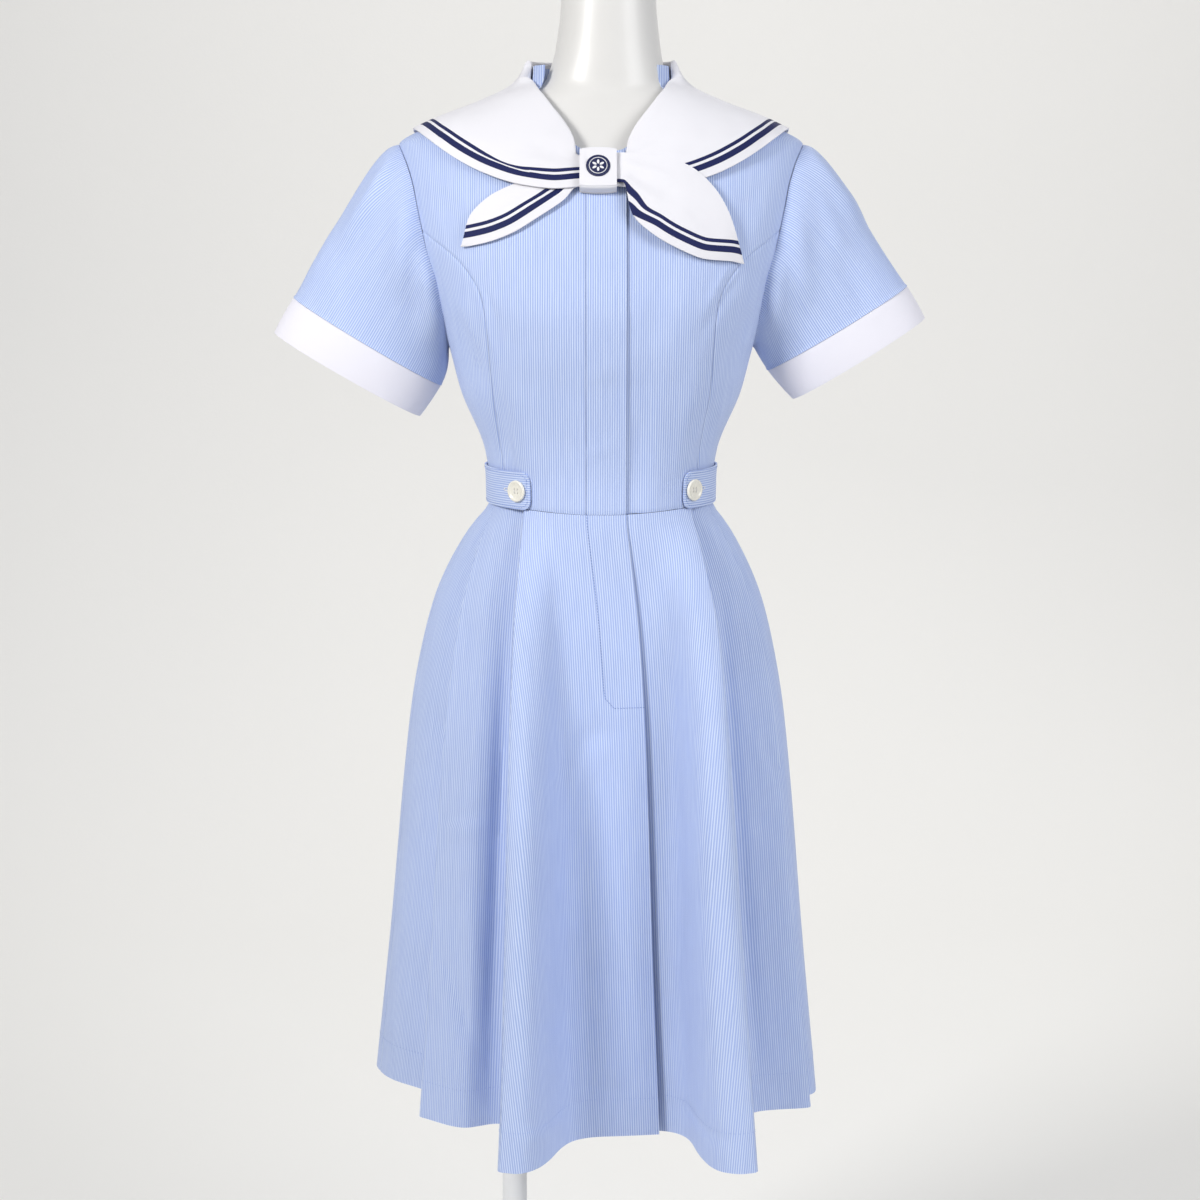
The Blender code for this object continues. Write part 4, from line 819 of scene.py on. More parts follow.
@dataclass(frozen=True)
class WhiteTwill:
    """White twill, with two navy bands beside the edge that v counts from where asked."""

    name: str
    ground: Colour = (0.765, 0.757, 0.793, 1.0)
    navy: Colour = (0.0040, 0.0080, 0.0620, 1.0)
    bands: bool = False
    thick_middle: float = 0.0103
    thick_half: float = 0.0028
    thin_middle: float = 0.0173
    thin_half: float = 0.00165

    def build(self) -> bpy.types.Material:
        """Make the material.

        Returns:
            The finished material.
        """
        board = NodeBoard(self.name)
        across, along = board.grain()
        slant = board.math("ADD", across, board.math("MULTIPLY", along, 0.9))
        twill = board.waves(slant, 0.00085)
        tone = board.noise(board.place(), 9.0, 3.0)
        ground = board.mix(board.spread(tone, 0.30, 0.72), tuple(c * 0.965 for c in self.ground[:3]) + (1.0,),
                           self.ground)
        height = twill
        if self.bands:
            thick = board.stripe(along, self.thick_middle, self.thick_half, 0.00018)
            thin = board.stripe(along, self.thin_middle, self.thin_half, 0.00018)
            tape = board.math("ADD", thick, thin, clamp=True)
            fleck = board.noise(board.vector(board.math("MULTIPLY", across, 900.0),
                                             board.math("MULTIPLY", along, 2400.0)), 1.0, 2.0)
            navy = board.mix(board.spread(fleck, 0.35, 0.75), self.navy,
                             tuple(c * 1.6 for c in self.navy[:3]) + (1.0,))
            ground = board.mix(tape, ground, navy)
            height = board.math("MULTIPLY_ADD", tape, 6.0, twill)
        board.link(ground, board.shader.inputs["Base Color"])
        board.shader.inputs["Roughness"].default_value = 0.72
        board.shader.inputs["Sheen Weight"].default_value = 0.04
        board.shader.inputs["Specular IOR Level"].default_value = 0.30
        normal = board.relief(height, 0.00006)
        crumple = board.noise(board.place(), 34.0, 3.0)
        board.link(board.relief(crumple, 0.0012, 0.18, normal), board.shader.inputs["Normal"])
        return board.material


@dataclass(frozen=True)
class Coat:
    """A hard smooth coat, such as the form's white gloss, with a faint unevenness."""

    name: str
    colour: Colour
    roughness: float
    coat: float = 0.0
    mottle: float = 12.0
    waviness: float = 0.0004

    def build(self) -> bpy.types.Material:
        """Make the material.

        Returns:
            The finished material.
        """
        board = NodeBoard(self.name)
        tone = board.noise(board.place(), self.mottle, 3.0)
        darker = tuple(c * 0.96 for c in self.colour[:3]) + (1.0,)
        board.link(board.mix(tone, darker, self.colour), board.shader.inputs["Base Color"])
        board.link(board.spread(tone, 0.2, 0.8, self.roughness * 0.85, self.roughness * 1.15),
                   board.shader.inputs["Roughness"])
        board.shader.inputs["Coat Weight"].default_value = self.coat
        board.shader.inputs["Coat Roughness"].default_value = 0.16
        board.link(board.relief(board.noise(board.place(), 60.0, 2.0), self.waviness, 0.15),
                   board.shader.inputs["Normal"])
        return board.material


@dataclass(frozen=True)
class Thread:
    """Sewing thread with a fine twist."""

    name: str
    colour: Colour

    def build(self) -> bpy.types.Material:
        """Make the material.

        Returns:
            The finished material.
        """
        board = NodeBoard(self.name)
        twist = board.noise(board.place(), 1500.0, 1.0)
        darker = tuple(c * 0.75 for c in self.colour[:3]) + (1.0,)
        board.link(board.mix(twist, darker, self.colour), board.shader.inputs["Base Color"])
        board.shader.inputs["Roughness"].default_value = 0.55
        board.link(board.relief(twist, 0.0002, 0.5), board.shader.inputs["Normal"])
        return board.material


class Palette:
    """Every finish of the dress, built once."""

    def __init__(self) -> None:
        self.cotton = StripedCotton("striped_cotton").build()
        self.placket = StripedCotton("striped_cotton_placket", groove=-0.0135).build()
        self.skirt_placket = StripedCotton("striped_cotton_skirt_placket").build()
        self.white = WhiteTwill("white_twill").build()
        self.cuff = WhiteTwill("white_twill_cuff", ground=(0.780, 0.768, 0.835, 1.0)).build()
        self.banded = WhiteTwill("white_twill_with_bands", bands=True).build()
        self.form = Coat("form_gloss", (0.690, 0.680, 0.660, 1.0), 0.40, coat=0.15).build()
        self.paint = Coat("stand_paint", (0.780, 0.785, 0.790, 1.0), 0.38, waviness=0.0002).build()
        self.shell = Coat("button_shell", (0.800, 0.775, 0.690, 1.0), 0.26, coat=0.5, mottle=240.0).build()
        self.blue_thread = Thread("thread_blue", (0.150, 0.240, 0.560, 1.0)).build()
        self.pale_thread = Thread("thread_pale", (0.400, 0.520, 0.860, 1.0)).build()
        self.white_thread = Thread("thread_white", (0.880, 0.880, 0.900, 1.0)).build()
        self.navy = Thread("patch_navy", (0.0050, 0.0100, 0.0700, 1.0)).build()


class Workshop:
    SHARP_DEG = 48.0

    def __init__(self, palette: Palette) -> None:
        self.palette = palette
        self.collection = bpy.data.collections.new("sailor_dress_looks")
        bpy.context.scene.collection.children.link(self.collection)

    def mesh(self, name: str, points: Sequence[Vector], faces: Sequence[tuple[int, ...]],
             material: bpy.types.Material) -> bpy.types.Object:
        """Add a smooth mesh object that rides on the body.

        Args:
            name: the piece's name.
            points: its vertices.
            faces: its faces, by vertex number.
            material: its finish.

        Returns:
            The new object.
        """
        data = bpy.data.meshes.new(name)
        data.from_pydata([tuple(point) for point in points], [], faces)
        data.materials.append(material)
        data.shade_smooth()
        made = bpy.data.objects.new(name, data)
        self.collection.objects.link(made)
        return made

    def bake(self, made: bpy.types.Object) -> None:
        """Turn an object's modifiers into plain mesh, with crisp edges where it bends sharply."""
        depsgraph = bpy.context.evaluated_depsgraph_get()
        data = bpy.data.meshes.new_from_object(
            made.evaluated_get(depsgraph), preserve_all_data_layers=True, depsgraph=depsgraph)
        made.modifiers.clear()
        made.data = data
        data.shade_smooth()
        data.set_sharp_from_angle(angle=math.radians(self.SHARP_DEG))

    def finish(self, made: bpy.types.Object, node: str, stands_for: bool = True) -> bpy.types.Object:
        """Let a piece ride, and stand for its solid.

        Args:
            made: the piece.
            node: the solid that it belongs to.
            stands_for: whether it replaces that solid.

        Returns:
            The piece.
        """
        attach(made, "root")
        if stands_for:
            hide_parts(node)
        LOG.info("%s: %d vertices", made.name, len(made.data.vertices))
        return made

    def sheet(self, name: str, node: str, grid: Grid, grain: list[list[PROFILE]],
              material: bpy.types.Material, wall: float, held: Held, closed: bool = False,
              outward: bool = True, even: bool = False, rests_on: Sequence[str] = ("form_shell",)
              ) -> bpy.types.Object:
        """Add a thin cloth shell from rows of points on its outer face.

        Args:
            name: the piece's name.
            node: the solid that it stands for.
            grid: rows of points.
            grain: the cloth coordinates of each point, in metres.
            material: its finish.
            wall: thickness of the cloth.
            held: how the cloth is held.
            closed: whether each row runs all round.
            outward: whether rows by columns face outwards.
            even: whether the wall keeps its thickness at bends.
            rests_on: the pieces that carry it.

        Returns:
            The finished piece.
        """
        width = len(grid[0])
        points = [point for row in grid for point in row]
        faces, coordinates = [], []
        for row in range(len(grid) - 1):
            for column_index in range(width if closed else width - 1):
                after = (column_index + 1) % width
                corners = [(row, column_index), (row, after), (row + 1, after), (row + 1, column_index)]
                spots = [list(grain[r][c]) for r, c in corners]
                if closed and after == 0:
                    step = spots[0][0] - grain[row][column_index - 1][0]
                    spots[1][0], spots[2][0] = spots[0][0] + step, spots[3][0] + step
                if not outward:
                    corners, spots = corners[::-1], spots[::-1]
                faces.append(tuple(r * width + c for r, c in corners))
                coordinates.extend(spots)
        made = self.mesh(name, points, faces, material)
        layer = made.data.uv_layers.new(name=NodeBoard.UV_NAME)
        layer.data.foreach_set("uv", np.array(coordinates, np.float32).ravel())
        thicken = made.modifiers.new("wall", "SOLIDIFY")
        thicken.thickness = wall
        thicken.offset = -1.0
        thicken.use_even_offset = even
        thicken.use_quality_normals = True
        self.bake(made)
        self.finish(made, node)
        rows = [row + row[:1] for row in grid] if closed else grid
        self.declare(made, rows, held, rests_on)
        return made

    @staticmethod
    def declare(made: bpy.types.Object, rows: Grid, held: Held, rests_on: Sequence[str],
                parts: Sequence[Grid] = ()) -> None:
        """Work out the cut of a cloth piece from its own longest row and column, and keep nothing of it.

        Args:
            made: the piece; not used.
            rows: its points, row by row.
            held: how it is held; not used.
            rests_on: the pieces that carry it; not used.
            parts: the grids whose areas add up to its own, where rows also span an opening.
        """
        wide = max(run_length(row) for row in rows)
        long = max(run_length([row[index] for row in rows]) for index in range(0, len(rows[0]), 4))
        area = 0.0
        for part in parts or (rows,):
            for low, high in zip(part, part[1:]):
                for a, b, c, d in zip(low, low[1:], high[1:], high):
                    area += ((c - a).cross(d - b)).length / 2.0
        area = min(max(area, 0.3 * wide * long), wide * long)

    def rings(self, name: str, node: str, rings: Grid, material: bpy.types.Material,
              stands_for: bool = True, looped: bool = False) -> bpy.types.Object:
        """Add a closed smooth body from rings of points, with flat ends or none.

        Args:
            name: the piece's name.
            node: the solid that it belongs to.
            rings: the rings, lowest first.
            material: its finish.
            stands_for: whether it replaces that solid.
            looped: whether the last ring joins the first, as in a doughnut.

        Returns:
            The finished piece.
        """
        width, count = len(rings[0]), len(rings)
        points = [point for ring in rings for point in ring]
        faces = []
        for level in range(count if looped else count - 1):
            low, high = level * width, (level + 1) % count * width
            faces += [(low + index, low + (index + 1) % width, high + (index + 1) % width, high + index)
                      for index in range(width)]
        if not looped:
            faces += [tuple(range(width))[::-1], tuple(range((count - 1) * width, count * width))]
        made = self.mesh(name, points, faces, material)
        made.data.set_sharp_from_angle(angle=math.radians(self.SHARP_DEG))
        return self.finish(made, node, stands_for)


class StitchMachine:
    """Sews rows of stitches with one Geometry Nodes group."""

    def __init__(self, shop: Workshop) -> None:
        self.shop = shop
        self.group = bpy.data.node_groups.new("stitch_row", "GeometryNodeTree")
        self._build()

    def _socket(self, name: str, kind: str, value: object = None) -> None:
        """Add a named input."""
        made = self.group.interface.new_socket(name, in_out="INPUT", socket_type=kind)
        if value is not None:
            made.default_value = value

    def _build(self) -> None:
        """Lay out the nodes: line to points, one stitch each, realized and coloured."""
        self._socket("Line", "NodeSocketGeometry")
        self._socket("Pitch", "NodeSocketFloat", 0.0030)
        self._socket("Length", "NodeSocketFloat", 0.0022)
        self._socket("Thickness", "NodeSocketFloat", 0.0004)
        self._socket("Thread", "NodeSocketMaterial")
        self.group.interface.new_socket("Stitches", in_out="OUTPUT", socket_type="NodeSocketGeometry")
        nodes, links = self.group.nodes, self.group.links
        given = nodes.new("NodeGroupInput")
        curve = nodes.new("GeometryNodeMeshToCurve")
        points = nodes.new("GeometryNodeCurveToPoints")
        points.mode = "LENGTH"
        ball = nodes.new("GeometryNodeMeshUVSphere")
        ball.inputs["Segments"].default_value = 6
        ball.inputs["Rings"].default_value = 4
        ball.inputs["Radius"].default_value = 0.5
        size = nodes.new("ShaderNodeCombineXYZ")
        placed = nodes.new("GeometryNodeInstanceOnPoints")
        real = nodes.new("GeometryNodeRealizeInstances")
        colour = nodes.new("GeometryNodeSetMaterial")
        out = nodes.new("NodeGroupOutput")
        links.new(given.outputs["Line"], curve.inputs[0])
        links.new(curve.outputs[0], points.inputs["Curve"])
        links.new(given.outputs["Pitch"], points.inputs["Length"])
        links.new(given.outputs["Thickness"], size.inputs[0])
        links.new(given.outputs["Thickness"], size.inputs[1])
        links.new(given.outputs["Length"], size.inputs[2])
        links.new(points.outputs["Points"], placed.inputs["Points"])
        links.new(points.outputs["Rotation"], placed.inputs["Rotation"])
        links.new(ball.outputs["Mesh"], placed.inputs["Instance"])
        links.new(size.outputs[0], placed.inputs["Scale"])
        links.new(placed.outputs[0], real.inputs[0])
        links.new(real.outputs[0], colour.inputs["Geometry"])
        links.new(given.outputs["Thread"], colour.inputs["Material"])
        links.new(colour.outputs[0], out.inputs[0])

    def sew(self, name: str, node: str, lines: Sequence[Sequence[Vector]], thread: bpy.types.Material,
            pitch: float = 0.0030, length: float = 0.0022, thickness: float = 0.0004) -> bpy.types.Object:
        """Sew stitches along lines.

        Args:
            name: the piece's name.
            node: the solid that it belongs to.
            lines: lines of points on the cloth.
            thread: the thread's finish.
            pitch: from stitch to stitch.
            length: of one stitch.
            thickness: of the thread.

        Returns:
            The stitches as one mesh.
        """
        points = [point for line in lines for point in line]
        edges, start = [], 0
        for line in lines:
            edges += [(start + index, start + index + 1) for index in range(len(line) - 1)]
            start += len(line)
        data = bpy.data.meshes.new(name)
        data.from_pydata([tuple(point) for point in points], edges, [])
        made = bpy.data.objects.new(name, data)
        self.shop.collection.objects.link(made)
        modifier = made.modifiers.new("stitches", "NODES")
        modifier.node_group = self.group
        values = {"Pitch": pitch, "Length": length, "Thickness": thickness, "Thread": thread}
        for item in self.group.interface.items_tree:
            if item.item_type == "SOCKET" and item.in_out == "INPUT" and item.name in values:
                modifier[item.identifier] = values[item.name]
        self.shop.bake(made)
        return self.shop.finish(made, node, stands_for=False)


def seam_dip(grid: Grid, outward: bool, edges: str, depth: float = 0.0008, soft: float = 0.0016) -> Grid:
    """Round the cloth down into its seams.

    Args:
        grid: rows of points.
        outward: whether rows by columns face outwards.
        edges: which edges are seams: any of the letters b, t, i and o for the bottom and top rows
            and the first and last columns.
        depth: how far the seam lies in.
        soft: how far from the seam the rounding reaches.

    Returns:
        The grid with its edges dipped.
    """
    places = np.array([[tuple(point) for point in row] for row in grid], float)
    normals = grid_normals(places) * (1.0 if outward else -1.0)
    dip = np.zeros(places.shape[:2])
    borders = {"b": places[:1], "t": places[-1:], "i": places[:, :1], "o": places[:, -1:]}
    for letter in edges:
        away = np.linalg.norm(places - borders[letter], axis=2)
        dip = np.maximum(dip, np.exp(-(away / soft) ** 2))
    places -= normals * (dip * depth)[..., None]
    return [[Vector(place) for place in row] for row in places]


def raised(grid: Grid, outward: bool, height: float) -> Grid:
    """A grid's points moved out along its normals."""
    places = np.array([[tuple(point) for point in row] for row in grid], float)
    places += grid_normals(places) * (height if outward else -height)
    return [[Vector(place) for place in row] for row in places]


@dataclass
class Bodice:
    """Centre and side fronts, and the back, on the body surface."""

    shop: Workshop
    machine: StitchMachine
    seam_rows: int = 60
    armhole_rows: int = 22
    front_rows: int = 54
    front_columns: int = 44
    side_columns: int = 26
    back_rows: int = 62
    back_neck_rows: int = 20
    back_columns: int = 48
    princess_gap: float = 0.0003
    creases: list[Crease] = field(default_factory=lambda: BODICE_CREASES)

    @staticmethod
    def drop(side: Side, deg: float) -> float:
        """How deep the bodice lies under its outer surface: only the hidden front lap does."""
        if side is Side.RIGHT:
            return 0.0
        return UNDERLAP_DROP * (1.0 - smooth_step(deg, UNDERLAP_START_DEG, UNDERLAP_END_DEG))

    @staticmethod
    def grain(places: list[list[Place]], back: bool = False) -> list[list[PROFILE]]:
        """Cloth coordinates: round the body from the middle, and height."""
        if not back:
            return [[(BODY.girth(deg, z), z) for deg, z in row] for row in places]
        return [[(math.copysign(abs(BODY.girth(BACK_DEG, z)) - abs(BODY.girth(deg, z)), deg), z)
                 for deg, z in row] for row in places]

    def princess(self, side: Side) -> list[Place]:
        """The points that both fronts share along the princess seam."""
        seam = Track(spots_track(PRINCESS_SEAM, side))
        return [seam.at(t) for t in shares(self.seam_rows)]

    def centre_front(self, side: Side) -> Grid:
        """Build one centre front.

        Args:
            side: which one.

        Returns:
            Its outer points, before the stitches.
        """
        lap = LAP if side is Side.RIGHT else UNDERLAP
        sign = side.value
        middle = [Spot(-lap, waist_z(0.0) + SEAM_GAP / 2), Spot(-lap, 1.12), Spot(-lap, 1.24),
                  Spot(-lap, 1.3345)]
        neck = [Spot(-lap, 1.3345), Spot(-lap * 0.5, 1.3318), *NECKLINE]
        princess = self.princess(side)
        hole = Track(spots_track(ARMHOLE_HIGH, side))
        high = [hole.at(t) for t in shares(self.armhole_rows)[1:]]
        front_edge, neck_edge = Track(spots_track(middle, side)), Track(spots_track(neck, side))
        inner = [front_edge.at(t) for t in shares(self.front_rows)]
        rest = self.seam_rows + self.armhole_rows - self.front_rows
        inner += [neck_edge.at(t) for t in shares(rest)[1:]]
        inner[-1] = (sign * SIDE_DEG, NECK_POINT_Z)
        outer = moved(princess, -sign * self.princess_gap / 2) + high
        outer[-1] = (sign * SIDE_DEG, ARMHOLE_HIGH[-1].z)
        inner[0] = (inner[0][0], waist_z(inner[0][0]) + SEAM_GAP / 2)
        outer[0] = (outer[0][0], waist_z(outer[0][0]) + SEAM_GAP / 2)
        inner[-1], outer[-1] = moved([inner[-1], outer[-1]], -sign * SEAM_GAP / 2)
        waist = [(inner[0][0] + (outer[0][0] - inner[0][0]) * t) for t in shares(24)]
        bottom = Track([(deg, waist_z(deg) + SEAM_GAP / 2) for deg in waist])
        patch = (bottom, Track([inner[-1], outer[-1]]), Steps(inner), Steps(outer))
        places = [[coons(*patch, u, v) for u in edge_shares(self.front_columns)]
                  for v in edge_shares(len(outer) - 1, 0.55)]
        grid = [[BODY.point(*place, -self.drop(side, place[0])) for place in row] for row in places]
        outward = side is Side.LEFT
        grid = CreasePress(self.creases).press(grid, outward)
        grid = seam_dip(grid, outward, "bto")
        finish = self.shop.palette.placket if side is Side.RIGHT else self.shop.palette.cotton
        self.shop.sheet(f"bodice_centre_front_{side.word}", f"bodice_front_{side.word}", grid,
                        self.grain(places), finish, CLOTH, Held.DRAPED, outward=outward)
        if side is Side.RIGHT:
            line = [BODY.point(BODY.turn_at(-0.0135, z), z, 0.0001) for z in
                    (1.008 + (1.302 - 1.008) * t for t in shares(60))]
            self.machine.sew("placket_stitches", "bodice_front_right", [line], self.shop.palette.pale_thread,
                             0.0026, 0.0020, 0.00034)
        return grid

    def side_front(self, side: Side) -> None:
        """Build one side front, between the princess seam, armhole and side seam."""
        sign = side.value
        inner = moved(self.princess(side), sign * self.princess_gap / 2)
        low = spots_track(ARMHOLE_LOW, side)
        low[0] = inner[-1]
        inner[0] = (inner[0][0], waist_z(inner[0][0]) + SEAM_GAP / 2)
        heights = (waist_z(SIDE_DEG) + SEAM_GAP / 2, 1.06, 1.11, ARMHOLE_LOW[-1].z)
        edge = moved([(sign * SIDE_DEG, z) for z in heights], -sign * SEAM_GAP / 2)
        low[-1] = edge[-1]
        patch = (Track([inner[0], edge[0]]), Track(low), Steps(inner), Track(edge))
        places = [[coons(*patch, u, v) for u in edge_shares(self.side_columns)]
                  for v in edge_shares(self.seam_rows, 0.55)]
        outward = side is Side.LEFT
        grid = CreasePress(self.creases).press([[BODY.point(*place) for place in row] for row in places], outward)
        grid = seam_dip(grid, outward, "btio")
        self.shop.sheet(f"bodice_side_front_{side.word}", f"bodice_side_{side.word}", grid,
                        self.grain(places), self.shop.palette.cotton, CLOTH, Held.DRAPED, outward=outward)

    def back_half(self, side: Side) -> list[list[Place]]:
        """The places of one half of the back, from the middle out."""
        sign = side.value
        heights = (waist_z(BACK_DEG) + SEAM_GAP / 2, 1.13, 1.25, BACK_NECKLINE[0].z)
        middle = [(sign * BACK_DEG, z) for z in heights]
        neck = spots_track(BACK_NECKLINE, side, back=True)
        neck[-1] = moved([(sign * SIDE_DEG, NECK_POINT_Z)], sign * SEAM_GAP / 2)[0]
        outer = [(sign * SIDE_DEG, z) for z in (waist_z(SIDE_DEG) + SEAM_GAP / 2, 1.06, 1.11, ARMHOLE_LOW[-1].z)]
        outer = moved(outer, sign * SEAM_GAP / 2)
        hole = spots_track(ARMHOLE_LOW, side, back=True)[::-1]
        hole += spots_track(ARMHOLE_HIGH, side, back=True)[1:]
        hole[-1] = moved([(sign * SIDE_DEG, ARMHOLE_HIGH[-1].z)], sign * SEAM_GAP / 2)[0]
        inner_line, outer_line = Track(middle + neck[1:]), Track(outer + hole[1:])
        split = Track(middle).length / inner_line.length
        rows = [t * split for t in shares(self.back_rows)]
        rows += [split + (1.0 - split) * t for t in shares(self.back_neck_rows)[1:]]
        patch = (Track([inner_line.at(0.0), outer_line.at(0.0)]), Track([inner_line.at(1.0), outer_line.at(1.0)]),
                 inner_line, outer_line)
        return [[coons(*patch, u, v) for u in shares(self.back_columns)] for v in rows]

    def back(self) -> None:
        """Build the back in one piece: two halves that share the middle up to the neckline."""
        points, faces, coordinates, rows_for_cut = [], [], [], []
        index: dict[tuple[int, ...], int] = {}
        for side in (Side.LEFT, Side.RIGHT):
            places = self.back_half(side)
            grain = self.grain(places, back=True)
            outward = side is Side.RIGHT
            grid = CreasePress(self.creases).press(
                [[BODY.point(*place) for place in row] for row in places], outward, back=True)
            grid = seam_dip(grid, outward, "bto")
            rows_for_cut.append(grid)
            numbers = []
            for row, line in enumerate(grid):
                numbers.append([])
                for place, point in enumerate(line):
                    shared = place == 0 and row <= self.back_rows
                    key = (row, place) if shared else (row, place, side.value)
                    if key not in index:
                        index[key] = len(points)
                        points.append(point)
                    numbers[row].append(index[key])
            for row in range(len(grid) - 1):
                for place in range(len(grid[0]) - 1):
                    corners = [(row, place), (row, place + 1), (row + 1, place + 1), (row + 1, place)]
                    corners = corners if outward else corners[::-1]
                    faces.append(tuple(numbers[r][c] for r, c in corners))
                    coordinates.extend(grain[r][c] for r, c in corners)
        made = self.shop.mesh("bodice_whole_back", points, faces, self.shop.palette.cotton)
        layer = made.data.uv_layers.new(name=NodeBoard.UV_NAME)
        layer.data.foreach_set("uv", np.array(coordinates, np.float32).ravel())
        thicken = made.modifiers.new("wall", "SOLIDIFY")
        thicken.thickness = CLOTH
        thicken.offset = -1.0
        thicken.use_even_offset = False
        self.shop.bake(made)
        self.shop.finish(made, "bodice_back")
        left, right = rows_for_cut
        whole = [list(reversed(a)) + b[1:] for a, b in zip(left, right)]
        self.shop.declare(made, whole, Held.DRAPED, ("form_shell",), rows_for_cut)

    def build(self) -> None:
        """Build all five pieces."""
        for side in Side:
            self.centre_front(side)
            self.side_front(side)
        self.back()


UNDERLAP_FOLDS = [
    Fold("underlap_edge", -7.5, 0.0019, 0.0180, -0.0860),
    Fold("underlap_middle", 4.0, 0.0019, 0.0360, -0.0840),
    Fold("underlap_end", 12.5, 0.0019, 0.0540, -0.0835),
    Fold("centre_valley", 19.0, 0.0004, 0.0720, -0.0900),
    Fold("lobe_foot", 27.0, 0.0, 0.0840, -0.1080),
    Fold("lobe_flank", 34.0, 0.0, 0.0900, -0.1480),
    Fold("lobe_rise", 41.0, 0.0, 0.1030, -0.1840),
    Fold("lobe_ridge", 46.0, 0.0, 0.1240, -0.1930),
    Fold("pleat_lead", 50.5, 0.0, 0.1380, -0.1890),
    Fold("pleat_edge", 52.0, 0.0, 0.1415, -0.1870),
    Fold("pleat_turn", 52.0, 0.0044, 0.1425, -0.1825),
    Fold("pleat_back", 50.5, 0.0044, 0.1410, -0.1780),
    Fold("pleat_return", 46.0, 0.0044, 0.1340, -0.1250),
    Fold("inner_lead", 43.5, 0.0044, 0.1250, -0.0740),
    Fold("inner_edge", 42.0, 0.0044, 0.1220, -0.0690),
    Fold("inner_turn", 42.0, 0.0058, 0.1220, -0.0640),
    Fold("inner_tail", 43.5, 0.0058, 0.1260, -0.0580),
    Fold("pleat_outlet", 54.0, 0.0056, 0.1490, -0.0340),
    Fold("side_panel", 60.0, 0.0010, 0.1720, -0.0280),
    Fold("side_rise", 66.0, 0.0, 0.1900, -0.0260),
    Fold("side_lead", 70.5, 0.0, 0.1995, -0.0240),
    Fold("side_edge", 72.0, 0.0, 0.2035, -0.0220),
    Fold("side_turn", 72.0, 0.0044, 0.2045, -0.0175),
    Fold("side_back", 70.5, 0.0044, 0.2020, -0.0140),
    Fold("side_inner_lead", 66.0, 0.0044, 0.1930, -0.0060),
    Fold("side_inner_edge", 64.5, 0.0044, 0.1900, -0.0020),
    Fold("side_inner_turn", 64.5, 0.0058, 0.1905, 0.0030),
    Fold("side_inner_tail", 66.0, 0.0058, 0.1950, 0.0070),
    Fold("side_outlet", 73.5, 0.0056, 0.2070, 0.0120),
    Fold("side_round", 81.0, 0.0010, 0.2135, 0.0230),
    Fold("left_side_seam", 90.0, 0.0, 0.2140, 0.0470),
]
BACK_FOLDS = [
    Fold("left_side_valley", 99.0, 0.0, 0.2095, 0.0720),
    Fold("left_flank", 107.0, 0.0, 0.2070, 0.1010),
    Fold("left_panel", 116.0, 0.0012, 0.1930, 0.1130),
    Fold("left_outlet", 122.0, 0.0056, 0.1640, 0.1010),
    Fold("left_inner_tail", 133.0, 0.0058, 0.1260, 0.0920),
    Fold("left_inner_turn", 134.5, 0.0058, 0.1215, 0.0930),
    Fold("left_inner_edge", 134.5, 0.0044, 0.1200, 0.0975),
    Fold("left_inner_lead", 133.0, 0.0044, 0.1220, 0.1020),
    Fold("left_return", 129.0, 0.0044, 0.1330, 0.1440),
    Fold("left_back", 125.5, 0.0044, 0.1410, 0.1750),
    Fold("left_turn", 124.0, 0.0044, 0.1430, 0.1790),
    Fold("left_edge", 124.0, 0.0, 0.1420, 0.1840),
    Fold("left_lead", 125.5, 0.0, 0.1385, 0.1860),
    Fold("left_ridge", 131.0, 0.0, 0.1160, 0.1870),
    Fold("left_slope", 141.0, 0.0, 0.0850, 0.1600),
    Fold("left_foot", 153.0, 0.0, 0.0580, 0.1250),
    Fold("back_valley", 167.0, 0.0, 0.0250, 0.1120),
    Fold("back_middle", 181.0, 0.0, -0.0100, 0.1130),
    Fold("right_foot", 197.0, 0.0, -0.0480, 0.1240),
    Fold("right_slope", 212.0, 0.0, -0.0800, 0.1590),
    Fold("right_ridge", 223.0, 0.0, -0.1090, 0.1890),
    Fold("right_lead", 229.5, 0.0, -0.1330, 0.1890),
    Fold("right_edge", 231.0, 0.0, -0.1370, 0.1875),
    Fold("right_turn", 231.0, 0.0044, -0.1385, 0.1825),
    Fold("right_back", 229.5, 0.0044, -0.1370, 0.1785),
    Fold("right_return", 226.0, 0.0044, -0.1300, 0.1480),
    Fold("right_inner_lead", 222.0, 0.0044, -0.1200, 0.1080),
    Fold("right_inner_edge", 220.5, 0.0044, -0.1180, 0.1035),
    Fold("right_inner_turn", 220.5, 0.0058, -0.1195, 0.0990),
    Fold("right_inner_tail", 222.0, 0.0058, -0.1240, 0.0980),
    Fold("right_outlet", 233.0, 0.0056, -0.1620, 0.1080),
    Fold("right_panel", 240.0, 0.0012, -0.1930, 0.1200),
    Fold("right_flank", 252.0, 0.0, -0.2190, 0.1190),
    Fold("right_side_ridge", 262.0, 0.0, -0.2310, 0.1080),
]
